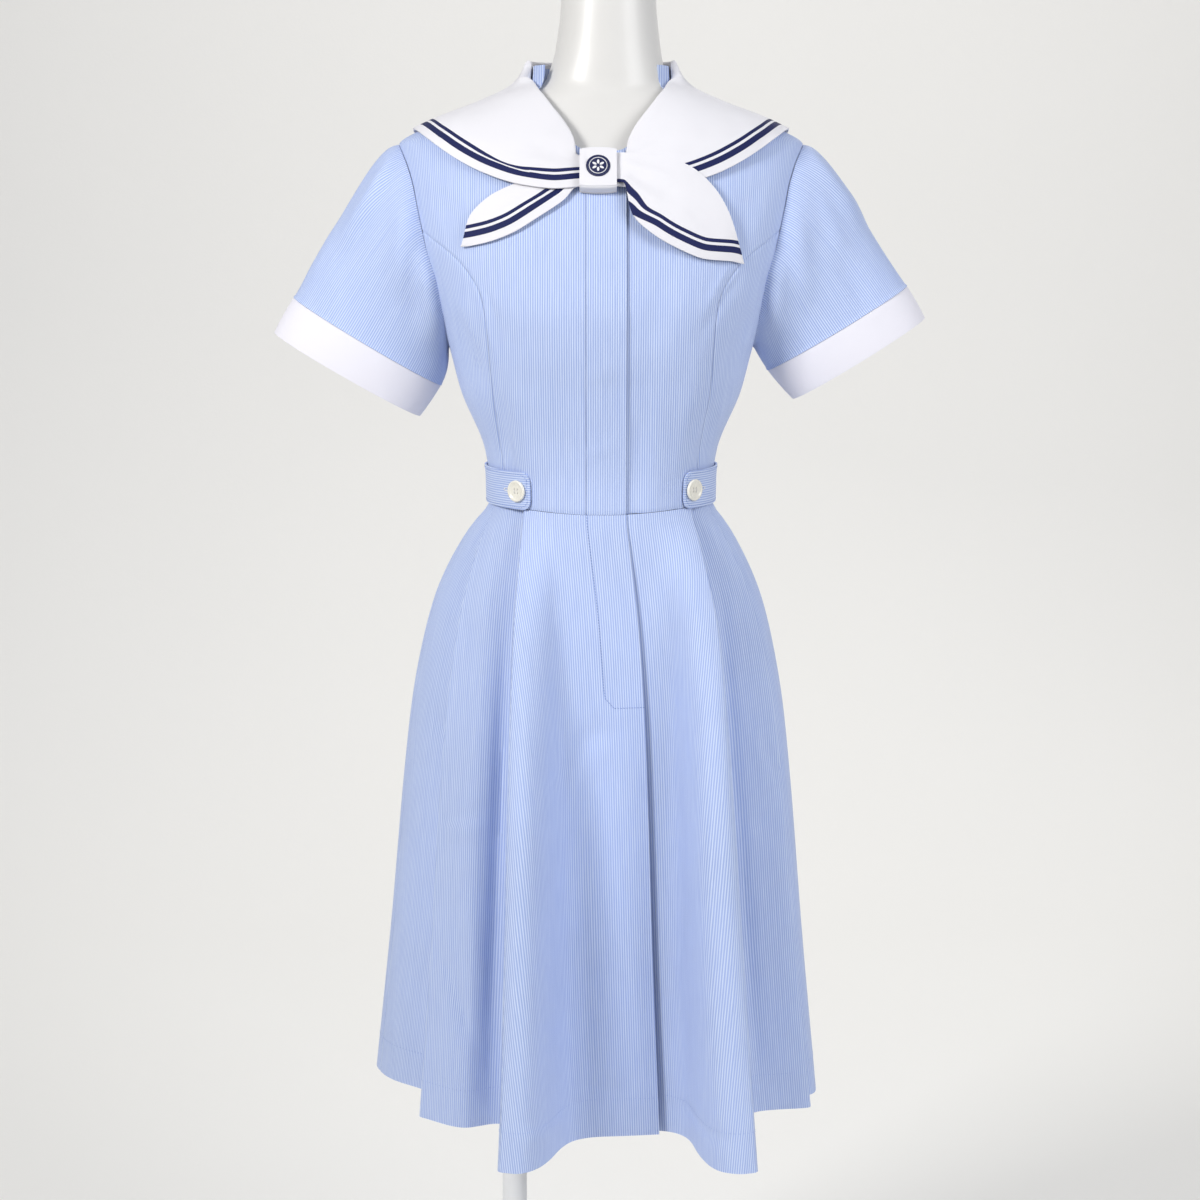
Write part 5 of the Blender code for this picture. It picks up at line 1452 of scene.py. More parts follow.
OVERLAP_FOLDS = [
    Fold("right_side_seam", -90.0, 0.0, -0.2255, 0.0830),
    Fold("side_round", -80.0, 0.0010, -0.2110, 0.0560),
    Fold("side_outlet", -73.5, 0.0056, -0.1830, 0.0330),
    Fold("side_inner_tail", -66.0, 0.0058, -0.1690, 0.0210),
    Fold("side_inner_turn", -64.5, 0.0058, -0.1655, 0.0165),
    Fold("side_inner_edge", -64.5, 0.0044, -0.1650, 0.0115),
    Fold("side_inner_lead", -66.0, 0.0044, -0.1665, 0.0065),
    Fold("side_back", -70.5, 0.0044, -0.1735, -0.0390),
    Fold("side_turn", -72.0, 0.0044, -0.1750, -0.0435),
    Fold("side_edge", -72.0, 0.0, -0.1740, -0.0485),
    Fold("side_lead", -70.5, 0.0, -0.1700, -0.0510),
    Fold("lobe_front", -64.0, 0.0, -0.1340, -0.0800),
    Fold("side_panel", -54.0, 0.0010, -0.1140, -0.0720),
    Fold("pleat_outlet", -44.5, 0.0056, -0.1000, -0.0660),
    Fold("inner_tail", -34.5, 0.0058, -0.0800, -0.0690),
    Fold("inner_turn", -33.0, 0.0058, -0.0765, -0.0720),
    Fold("inner_edge", -33.0, 0.0044, -0.0760, -0.0770),
    Fold("inner_lead", -34.5, 0.0044, -0.0775, -0.0820),
    Fold("pleat_return", -38.0, 0.0044, -0.0870, -0.1300),
    Fold("pleat_back", -41.0, 0.0044, -0.0930, -0.1770),
    Fold("pleat_turn", -42.5, 0.0044, -0.0945, -0.1815),
    Fold("pleat_edge", -42.5, 0.0, -0.0935, -0.1865),
    Fold("pleat_lead", -41.0, 0.0, -0.0895, -0.1885),
    Fold("lobe_ridge", -36.0, 0.0, -0.0700, -0.1930),
    Fold("lobe_fall", -30.0, 0.0, -0.0500, -0.1700),
    Fold("lobe_foot", -23.0, 0.0, -0.0340, -0.1180),
    Fold("front_middle", -11.0, 0.0, -0.0140, -0.1020),
    Fold("lap_inner", 3.0, 0.0, 0.0230, -0.0985),
    Fold("lap_edge", 12.5, 0.0, 0.0550, -0.0940),
]
FOLDS = UNDERLAP_FOLDS + BACK_FOLDS + OVERLAP_FOLDS


@dataclass(frozen=True)
class Bloom:
    """How far every fold has travelled from the waist to its place on the hem, at a height."""

    z: float
    share: float


BLOOM = [
    Bloom(0.420, 1.000), Bloom(0.581, 0.857), Bloom(0.737, 0.733), Bloom(0.812, 0.657),
    Bloom(0.872, 0.560), Bloom(0.916, 0.457), Bloom(0.943, 0.362), Bloom(0.970, 0.240),
    Bloom(0.989, 0.133), Bloom(1.0005, 0.048), Bloom(1.011, 0.000),
]


@dataclass
class Skirt:
    """Two front pieces and the back: level lines rounded through the folds, from hem to waist."""

    shop: Workshop
    machine: StitchMachine
    rows: int = 92
    cell: float = 0.0042
    front_delay: float = 0.45
    hem_band: float = 0.0360
    fly_width: float = 0.0360
    fly_end_z: float = 0.8220
    creases: list[Crease] = field(default_factory=lambda: SKIRT_CREASES)

    def __post_init__(self) -> None:
        self.bloom = column(BLOOM, "z", "share")
        self.starts = [self.waist_place(fold) for fold in FOLDS]
        self.heights = [t - 0.5 * math.sin(math.pi * t) / math.pi for t in shares(self.rows)]

    @staticmethod
    def waist_place(fold: Fold) -> Vector:
        """Where a fold starts: on the waist seam, under the outer cloth by its layer."""
        inward = BODY.normal(fold.deg, 1.020)
        inward.z = 0.0
        return BODY.raw(fold.deg, WAIST_Z) - inward.normalized() * fold.layer

    def corners(self, share: float) -> list[Vector]:
        """Where every fold is on one level line.

        Args:
            share: 0 at the hem and 1 at the waist seam.

        Returns:
            One point a fold.
        """
        result = []
        for fold, start in zip(FOLDS, self.starts):
            top = waist_z(fold.deg) - SEAM_GAP / 2
            z = top + (HEM_Z - top) * (1.0 - share)
            delay = 1.0 + self.front_delay * abs(math.cos(math.radians(fold.deg)))
            travel = self.bloom(min(z, WAIST_Z) + (WAIST_Z - waist_z(fold.deg)) * share) ** delay
            result.append(Vector((
                start.x + (fold.hem_x - start.x) * travel,
                start.y + (fold.hem_y - start.y) * travel, z,
            )))
        return result

    def counts(self) -> list[int]:
        """How many steps the line takes round each fold, by its width on the hem."""
        ends = [Vector((fold.hem_x, fold.hem_y)) for fold in FOLDS]
        result = []
        for index, end in enumerate(ends):
            before = (end - ends[index - 1]).length / 2 if index else 0.0
            after = (ends[index + 1] - end).length / 2 if index < len(ends) - 1 else 0.0
            result.append(max(3, round((before + after) / self.cell)))
        return result

    def line(self, share: float, first: int, last: int, counts: list[int]) -> list[Vector]:
        """One level line between two folds, rounded through them.

        Args:
            share: 0 at the hem and 1 at the waist seam.
            first: the fold that it starts at.
            last: the fold that it ends at.
            counts: steps round each fold.

        Returns:
            The points of the line.
        """
        corners = self.corners(share)
        result = []
        for index in range(first, last + 1):
            here = corners[index]
            before = (corners[index - 1] + here) / 2 if index else here
            after = (corners[index + 1] + here) / 2 if index < len(corners) - 1 else here
            start = 0.5 if index == first and index else 0.0
            end = 0.5 if index == last and index < len(corners) - 1 else 1.0
            steps = counts[index]
            for step in range(steps + (1 if index == last else 0)):
                t = start + (end - start) * step / steps
                rest = 1.0 - t
                result.append(before * rest * rest + here * 2.0 * rest * t + after * t * t)
        return result

    @staticmethod
    def grain(grid: Grid, anchors: Sequence[int]) -> list[list[PROFILE]]:
        """Cloth coordinates, with the grain straight at each anchor column."""
        result = []
        offsets = [0.0]
        for row in grid:
            marks = [0.0]
            for a, b in zip(row, row[1:]):
                marks.append(marks[-1] + (b - a).length)
            if len(offsets) == 1:
                offsets = [marks[anchor] for anchor in anchors]
            line = []
            for index, (mark, point) in enumerate(zip(marks, row)):
                nearest = min(range(len(anchors)), key=lambda k: abs(anchors[k] - index))
                line.append((mark - marks[anchors[nearest]] + offsets[nearest], point.z))
            result.append(line)
        return result

    def piece(self, name: str, node: str, first: int, last: int, anchors: Sequence[int], seams: str,
              material: bpy.types.Material) -> Grid:
        """Build one skirt piece.

        Args:
            name: the piece's name.
            node: the solid that it stands for.
            first: the fold that it starts at.
            last: the fold that it ends at.
            anchors: folds that lie on the grain.
            seams: the edges that are seams, as in seam_dip.
            material: its finish.

        Returns:
            Its outer points.
        """
        counts = self.counts()
        grid = [self.line(share, first, last, counts) for share in self.heights]
        for line in grid:
            if first:
                line[0] += (line[1] - line[0]).normalized() * SEAM_GAP / 2
            if last < len(FOLDS) - 1:
                line[-1] += (line[-2] - line[-1]).normalized() * SEAM_GAP / 2
        grain = self.grain(grid, [sum(counts[first:anchor]) for anchor in anchors])
        grid = CreasePress(self.creases).press(grid, True)
        grid = seam_dip(grid, True, seams, 0.0006, 0.0020)
        self.shop.sheet(name, node, grid, grain, material, CLOTH, Held.HUNG)
        return grid

    def level(self, grid: Grid, height: float) -> list[Vector]:
        """The line round a piece at a height above the hem, just proud of the cloth."""
        aim = HEM_Z + height
        proud = raised(grid, True, 0.00035)
        index = next(i for i, row in enumerate(proud) if row[len(row) // 2].z > aim)
        low, high = proud[index - 1], proud[index]
        t = (aim - low[len(low) // 2].z) / (high[len(high) // 2].z - low[len(low) // 2].z)
        return [a.lerp(b, t) for a, b in zip(low, high)]

    def fly_line(self, grid: Grid) -> list[Vector]:
        """The placket's stitch line on the overlap, which turns to the lap edge at its foot."""
        proud = raised(grid, True, 0.00040)
        turn_z = self.fly_end_z + self.fly_width * 0.62
        points = []
        for row in proud:
            z = row[-1].z
            if z < self.fly_end_z:
                continue
            share = min(max((turn_z - z) / (turn_z - self.fly_end_z), 0.0), 1.0)
            aim = self.fly_width * math.sqrt(max(1.0 - share ** 2.4, 0.0))
            walked, index = 0.0, len(row) - 1
            while walked < aim and index > 1:
                walked += (row[index] - row[index - 1]).length
                index -= 1
            span = (row[index + 1] - row[index]).length
            points.append(row[index].lerp(row[index + 1], (walked - aim) / span if walked > aim else 0.0))
        foot = proud[next(i for i, row in enumerate(proud) if row[-1].z >= self.fly_end_z)]
        return [foot[-1].lerp(foot[-2], 0.4), *points]

    def build(self) -> None:
        """Build the three pieces, their hem stitching and the placket's stitching."""
        left_seam = len(UNDERLAP_FOLDS) - 1
        right_seam = left_seam + len(BACK_FOLDS) + 1
        names = [fold.name for fold in FOLDS]
        palette = self.shop.palette
        left = self.piece("skirt_left_front", "skirt_front_left", 0, left_seam, (0, 18, left_seam), "ot",
                          palette.cotton)
        back_middle = names.index("back_middle")
        back = self.piece("skirt_whole_back", "skirt_back", left_seam, right_seam,
                          (left_seam + 3, back_middle, right_seam - 2), "iot", palette.cotton)
        right = self.piece("skirt_right_front", "skirt_front_right", right_seam, len(FOLDS) - 1,
                           (right_seam + 1, right_seam + 12, len(FOLDS) - 1), "it", palette.skirt_placket)
        for name, node, grid in (("hem_stitches_left_front", "skirt_front_left", left),
                                 ("hem_stitches_back", "skirt_back", back),
                                 ("hem_stitches_right_front", "skirt_front_right", right)):
            self.machine.sew(name, node, [self.level(grid, self.hem_band)], palette.pale_thread,
                             0.0042, 0.0016, 0.00050)
        self.machine.sew("fly_stitches", "skirt_front_right", [self.fly_line(right)], palette.blue_thread,
                         0.0026, 0.0021, 0.00048)


@dataclass(frozen=True)
class CuffSize:
    """One cuff from the front: outer and inner end of its seam and of its hem."""

    side: Side
    outer: Spot
    inner: Spot
    hem_outer: Spot
    hem_inner: Spot


CUFFS = [
    CuffSize(Side.RIGHT, Spot(0.2860, 1.2005), Spot(0.1500, 1.1190), Spot(0.3050, 1.1680), Spot(0.1700, 1.0900)),
    CuffSize(Side.LEFT, Spot(0.2845, 1.2110), Spot(0.1560, 1.1330), Spot(0.3020, 1.1815), Spot(0.1800, 1.1060)),
]


@dataclass
class Sleeves:
    """Set-in sleeves from the armhole to the cuff seam, and the turned cuffs."""

    shop: Workshop
    machine: StitchMachine
    around: int = 112
    along: int = 52
    depth: float = 0.0430
    hem_share: float = 0.97
    lead_axis: float = 0.35
    lead_side: float = 0.80
    lead_spread: float = 0.55
    armhole_gap: float = 0.0
    cap_length: float = 0.021
    cap_share: float = 0.30
    cuff_share: float = 0.52
    under_rest: float = 0.75

    @staticmethod
    def armhole(side: Side) -> Track:
        """The armhole from the shoulder by the front and the armpit to the back."""
        front = spots_track(ARMHOLE_HIGH, side)[::-1] + spots_track(ARMHOLE_LOW, side)[1:]
        back = spots_track(ARMHOLE_LOW, side, back=True)[::-1]
        back += spots_track(ARMHOLE_HIGH, side, back=True)[1:]
        return Track(front + back[1:])

    def build_one(self, size: CuffSize) -> None:
        """Build one sleeve and its cuff.

        Args:
            size: where the cuff is.
        """
        side, sign = size.side, size.side.value
        outer, inner, hem_outer, hem_inner = (
            Vector((sign * spot.x, 0.0, spot.z)) for spot in (size.outer, size.inner, size.hem_outer, size.hem_inner))
        axis = ((hem_outer + hem_inner) - (outer + inner)).normalized()
        track = self.armhole(side)
        ring = [BODY.raw(*track.at(index / self.around)) for index in range(self.around)]
        middle = sum(ring, Vector()) / len(ring)
        grid: Grid = [[] for _ in range(self.along + 1)]
        seam_line, cuff_line, marks = [], [], []
        steps = edge_shares(self.along, 0.8)
        for index, start in enumerate(ring):
            turn = 2.0 * math.pi * index / self.around
            ahead = Vector((0.0, -self.depth * math.sin(turn), 0.0))
            end = (outer + inner) / 2 + (outer - inner) / 2 * math.cos(turn) + ahead
            hem = (hem_outer + hem_inner) / 2 + (hem_outer - hem_inner) / 2 * math.cos(turn)
            hem += ahead * self.hem_share
            spread = (start - middle).normalized()
            lead = axis * self.lead_axis + Vector((sign * self.lead_side, 0.0, 0.0)) + spread * self.lead_spread
            lead.normalize()
            start = start + lead * self.armhole_gap
            reach = (end - start).length
            under = 0.5 - 0.5 * math.cos(turn)
            near = start + lead * min(self.cap_length, reach * self.cap_share) * (1.0 - self.under_rest * under ** 2)
            far = end - axis * reach * self.cuff_share
            for row, t in enumerate(steps):
                rest = 1.0 - t
                grid[row].append(start * rest ** 3 + near * 3 * rest * rest * t
                                 + far * 3 * rest * t * t + end * t ** 3)
            seam_line.append(end + axis * SEAM_GAP)
            cuff_line.append(hem)
        for row in grid:
            marks.append([0.0])
            for a, b in zip(row, row[1:]):
                marks[-1].append(marks[-1][-1] + (b - a).length)
        half = [line[self.around // 4] for line in marks]
        grain = [[(mark - base, -(point - middle).dot(axis)) for mark, point in zip(line, row)]
                 for line, row, base in zip(marks, grid, half)]
        outward = side is Side.LEFT
        grid = CreasePress(SLEEVE_CREASES).press(grid, not outward)
        grid = seam_dip(grid, not outward, "bt", 0.0007, 0.0022)
        self.shop.sheet(f"set_in_sleeve_{side.word}", f"sleeve_{side.word}", grid, grain,
                        self.shop.palette.cotton, CLOTH, Held.HUNG, closed=True, outward=outward)
        self.cuff(side, seam_line, cuff_line, outward)
        ring_line = [BODY.point(*track.at(t), 0.0001) for t in shares(self.around)]
        inward = [point + (middle - point).normalized() * -0.0016 for point in ring_line]
        seated = [Vector((point.x - sign * 0.0032, point.y, point.z)) for point in inward]
        self.machine.sew(f"armhole_stitches_{side.word}", f"bodice_side_{side.word}", [seated],
                         self.shop.palette.blue_thread, 0.0031, 0.0017, 0.00046)

    def cuff(self, side: Side, seam: list[Vector], hem: list[Vector], outward: bool) -> None:
        """Build one cuff band, a little full in the middle, with both its edges rounded."""
        rows = []
        for t in edge_shares(14, 0.8):
            swell = 0.0008 * math.sin(math.pi * t) ** 0.6
            line = [a.lerp(b, t) for a, b in zip(seam, hem)]
            middle = sum(line, Vector()) / len(line)
            rows.append([point + (point - middle).normalized() * swell for point in line])
        grain = []
        for t, row in zip(edge_shares(14, 0.8), rows):
            marks = [0.0]
            for a, b in zip(row, row[1:]):
                marks.append(marks[-1] + (b - a).length)
            grain.append([(mark, t * 0.036) for mark in marks])
        self.shop.sheet(f"cuff_band_{side.word}", f"cuff_{side.word}", rows, grain,
                        self.shop.palette.cuff, DOUBLED, Held.HUNG, closed=True, outward=outward,
                        rests_on=(f"set_in_sleeve_{side.word}",))

    def build(self) -> None:
        """Build both sides."""
        for size in CUFFS:
            self.build_one(size)


@dataclass(frozen=True)
class Ease:
    """How far the collar's fall stands off the body at a height."""

    z: float
    front: float
    side: float


COLLAR_EASE = [
    Ease(1.2000, 0.0054, 0.0056), Ease(1.2900, 0.0052, 0.0066), Ease(1.3150, 0.0056, 0.0085),
    Ease(1.3350, 0.0072, 0.0100), Ease(1.3600, 0.0072, 0.0120), Ease(1.3750, 0.0072, 0.0135),
    Ease(1.3860, 0.0080, 0.0165), Ease(1.3950, 0.0084, 0.0155), Ease(1.4050, 0.0072, 0.0100),
    Ease(1.4165, 0.0060, 0.0062),
]
ROLL_FRONT = [
    Spot(0.0110, 1.3248), Spot(0.0205, 1.3258), Spot(0.0245, 1.3400), Spot(0.0330, 1.3560),
    Spot(0.0470, 1.3745), Spot(0.0620, 1.3950), Spot(0.0632, 1.4080), Spot(0.0630, 1.4165),
]
LAPEL_EDGE = [
    Spot(0.0110, 1.3012), Spot(0.0205, 1.3005), Spot(0.0400, 1.2990), Spot(0.0700, 1.3030),
    Spot(0.1000, 1.3130), Spot(0.1240, 1.3260), Spot(0.1440, 1.3410), Spot(0.1610, 1.3560),
]
FLAP_EDGE = [
    Spot(0.1610, 1.3560), Spot(0.1620, 1.3250), Spot(0.1590, 1.2900), Spot(0.1550, 1.2550),
    Spot(0.1510, 1.2250),
]
FLAP_BOTTOM = [Spot(0.1510, 1.2250), Spot(0.1000, 1.2170), Spot(0.0500, 1.2140), Spot(0.0, 1.2130)]


@dataclass
class Collar:
    """The sailor collar in one piece, and the facing inside the back neck."""

    shop: Workshop
    lapel_columns: int = 66
    shoulder_columns: int = 56
    flap_columns: int = 48
    line_steps: int = 5
    stand_out: float = 0.0008
    stand_height: float = 0.0062
    stand_lift: float = 0.0022
    roll_height: float = 0.0036
    roll_width: float = 0.0062
    keeper_stand_out: float = 0.0018
    right_knot_ease: float = 0.0087
    left_knot_ease: float = 0.0073
    knot: PROFILE = (0.0650, 0.1150)
    keeper_side: PROFILE = (0.0190, 0.0300)
    fall_lead: float = 0.12
    roll_steps: tuple[PROFILE, ...] = ((0.12, 0.0012), (0.50, 0.0), (0.92, 0.0012))
    fall_rows: tuple[float, ...] = (0.09, 0.23, 0.42, 0.62, 0.81, 1.0)
    facing_in: float = 0.0009
    tuck_x: float = -0.0930
    tuck_width: float = 0.0210
    tuck_depth: float = 0.0032
    tuck_band: PROFILE = (0.0131, 0.0137)

    def __post_init__(self) -> None:
        self.front_ease = column(COLLAR_EASE, "z", "front")
        self.side_ease = column(COLLAR_EASE, "z", "side")

    def ease(self, deg: float, z: float, side: Side) -> PROFILE:
        """How far the collar's fall stands off: to front and back, and to the sides."""
        front, across = self.front_ease(z), self.side_ease(z)
        if abs(deg) < SIDE_DEG:
            near = self.right_knot_ease if side is Side.RIGHT else self.left_knot_ease
            front = near + (front - near) * smooth_step(abs(BODY.raw(deg, z).x), *self.knot)
        return front, across

    @staticmethod
    def height_at(places: Sequence[Place], deg: float) -> float:
        """The height of a line at an angle."""
        heights = sorted((abs(place[0]), place[1]) for place in places)
        for (deg_a, z_a), (deg_b, z_b) in zip(heights, heights[1:]):
            if abs(deg) <= deg_b:
                return z_a + (z_b - z_a) * max(abs(deg) - deg_a, 0.0) / max(deg_b - deg_a, 1e-6)
        return heights[-1][1]

    def columns(self, side: Side) -> list[tuple[Place, Place, float]]:
        """Roll place, edge place and neckline height of each line, from the front to the back."""
        half = []
        roll, edge = Track(spots_track(ROLL_FRONT, side)), Track(spots_track(LAPEL_EDGE, side))
        neck = spots_track(NECKLINE, side)
        for t in shares(self.lapel_columns):
            half.append((roll.at(t), edge.at(t), self.height_at(neck, roll.at(t)[0])))
        middle = (SIDE_DEG + BACK_DEG) / 2
        roll = Track([(side.value * deg, STAND_TOP_Z) for deg in (SIDE_DEG, middle, BACK_DEG)])
        side_edge = spots_track(FLAP_EDGE, side, back=True)
        edge = Track(side_edge[:-1] + spots_track(FLAP_BOTTOM, side, back=True))
        corner = Track(side_edge).length / edge.length
        neck = spots_track(BACK_NECKLINE, side, back=True)[::-1]
        places = [corner * t for t in shares(self.shoulder_columns)[1:]]
        places += [corner + (1.0 - corner) * t for t in shares(self.flap_columns)[1:]]
        coarse = [corner * t for t in shares(8)[1:]] + [corner + (1.0 - corner) * t for t in shares(5)[1:]]
        spread = Smooth([0.0, *coarse], [(order) / len(coarse) for order in range(len(coarse) + 1)])
        for t in places:
            place = roll.at(spread(t))
            half.append((place, edge.at(t), self.height_at(neck, place[0])))
        return half

    def line(self, side: Side, roll_place: Place, edge_place: Place, neck_z: float) -> list[Vector]:
        """One line of the collar from its stand over the roll to the outer edge.

        Args:
            side: the wearer's side.
            roll_place: where the line crosses the roll.
            edge_place: where it ends on the outer edge.
            neck_z: the neckline's height there.

        Returns:
            Its key points, stand first.
        """
        (roll_deg, roll_z), (edge_deg, edge_z) = roll_place, edge_place
        ease = self.ease(roll_deg, roll_z, side)
        nearness = 1.0 - smooth_step(abs(BODY.raw(roll_deg, roll_z).x), *self.keeper_side)
        stand_out = self.stand_out + self.keeper_stand_out * nearness * (abs(roll_deg) < SIDE_DEG)
        roll = BODY.raw(roll_deg, roll_z)
        onward = BODY.raw(roll_deg + (edge_deg - roll_deg) * self.fall_lead,
                          roll_z + (edge_z - roll_z) * self.fall_lead)
        down = (onward - roll).normalized()
        out = BODY.raw(roll_deg, roll_z, ease) - roll
        ahead = out - down * out.dot(down)
        width = max(ahead.length, self.roll_width)
        ahead.normalize()
        height = max(roll_z - neck_z - self.stand_lift, self.stand_height)
        line = [roll + down * height + ahead * stand_out, roll + down * self.roll_height + ahead * stand_out]
        for share, below in self.roll_steps:
            line.append(roll + down * below + ahead * (stand_out + (width - stand_out) * share))
        for t in self.fall_rows:
            deg, z = roll_deg + (edge_deg - roll_deg) * t, roll_z + (edge_z - roll_z) * t
            line.append(BODY.raw(deg, z, self.ease(deg, z, side)))
        return line

    def build(self) -> None:
        """Build the collar and the facing."""
        right = [(Side.RIGHT, *entry) for entry in self.columns(Side.RIGHT)]
        left = [(Side.LEFT, *entry) for entry in self.columns(Side.LEFT)]
        grid = [rounded_line(self.line(*entry), self.line_steps) for entry in right + left[::-1][1:]]
        grid = CreasePress(COLLAR_CREASES).press(grid, False)
        edge = [line[-1] for line in grid]
        flat = np.array([tuple(point) for line in grid for point in line])
        away = edge_distances(flat, edge).reshape(len(grid), -1)
        marks = [0.0]
        for a, b in zip(edge, edge[1:]):
            marks.append(marks[-1] + (b - a).length)
        grain = []
        for mark, row, line in zip(marks, away, grid):
            tuck = self.tuck_depth * math.exp(-((line[-1].x - self.tuck_x) / self.tuck_width) ** 2)
            grain.append([(mark, float(value) + tuck * smooth_step(value, *self.tuck_band)) for value in row])
        self.shop.sheet("sailor_collar", "collar", grid, grain, self.shop.palette.banded, DOUBLED,
                        Held.DRAPED, outward=False, even=False, rests_on=("bodice_whole_back",))
        rows, grain = [], []
        for share in shares(8):
            row = []
            for step in range(-62, 63):
                deg = step * 2.0
                low = 1.3945 - 0.0025 * math.cos(math.radians(deg * 0.75)) - 0.006 * smooth_step(abs(deg), 70.0, 118.0)
                row.append(BODY.raw(BACK_DEG + deg, low + (STAND_TOP_Z - 0.0055 - low) * share,
                                    (-self.facing_in, -self.facing_in)))
            rows.append(row)
            grain.append([(point.x, point.z) for point in row])
        self.shop.sheet("back_neck_facing", "neck_facing", rows, grain, self.shop.palette.cotton, CLOTH,
                        Held.DRAPED, rests_on=("sailor_collar",))


@dataclass(frozen=True)
class Station:
    """One cross line of a tie tail: its upper and lower end, and how far it stands out."""

    top_x: float
    top_z: float
    low_x: float
    low_z: float
    out: float


RIGHT_TAIL = [
    Station(-0.0010, 1.3180, -0.0010, 1.2995, 0.0046), Station(0.0195, 1.3180, 0.0195, 1.2990, 0.0046),
    Station(0.0500, 1.3120, 0.0330, 1.2870, 0.0046), Station(0.0750, 1.3020, 0.0560, 1.2720, 0.0044),
    Station(0.0980, 1.2910, 0.0800, 1.2580, 0.0042), Station(0.1165, 1.2720, 0.1000, 1.2510, 0.0040),
    Station(0.1217, 1.2520, 0.1165, 1.2477, 0.0038), Station(0.1232, 1.2478, 0.1228, 1.2470, 0.0038),
]
LEFT_TAIL = [
    Station(0.0020, 1.3260, 0.0020, 1.3015, 0.0092), Station(0.0190, 1.3260, 0.0190, 1.3005, 0.0094),
    Station(0.0500, 1.3240, 0.0270, 1.2740, 0.0096), Station(0.0760, 1.3150, 0.0430, 1.2580, 0.0094),
    Station(0.0980, 1.2980, 0.0660, 1.2450, 0.0076), Station(0.1130, 1.2740, 0.0920, 1.2360, 0.0056),
    Station(0.1210, 1.2490, 0.1150, 1.2345, 0.0044), Station(0.1242, 1.2372, 0.1215, 1.2330, 0.0042),
    Station(0.1254, 1.2331, 0.1250, 1.2323, 0.0042),
]


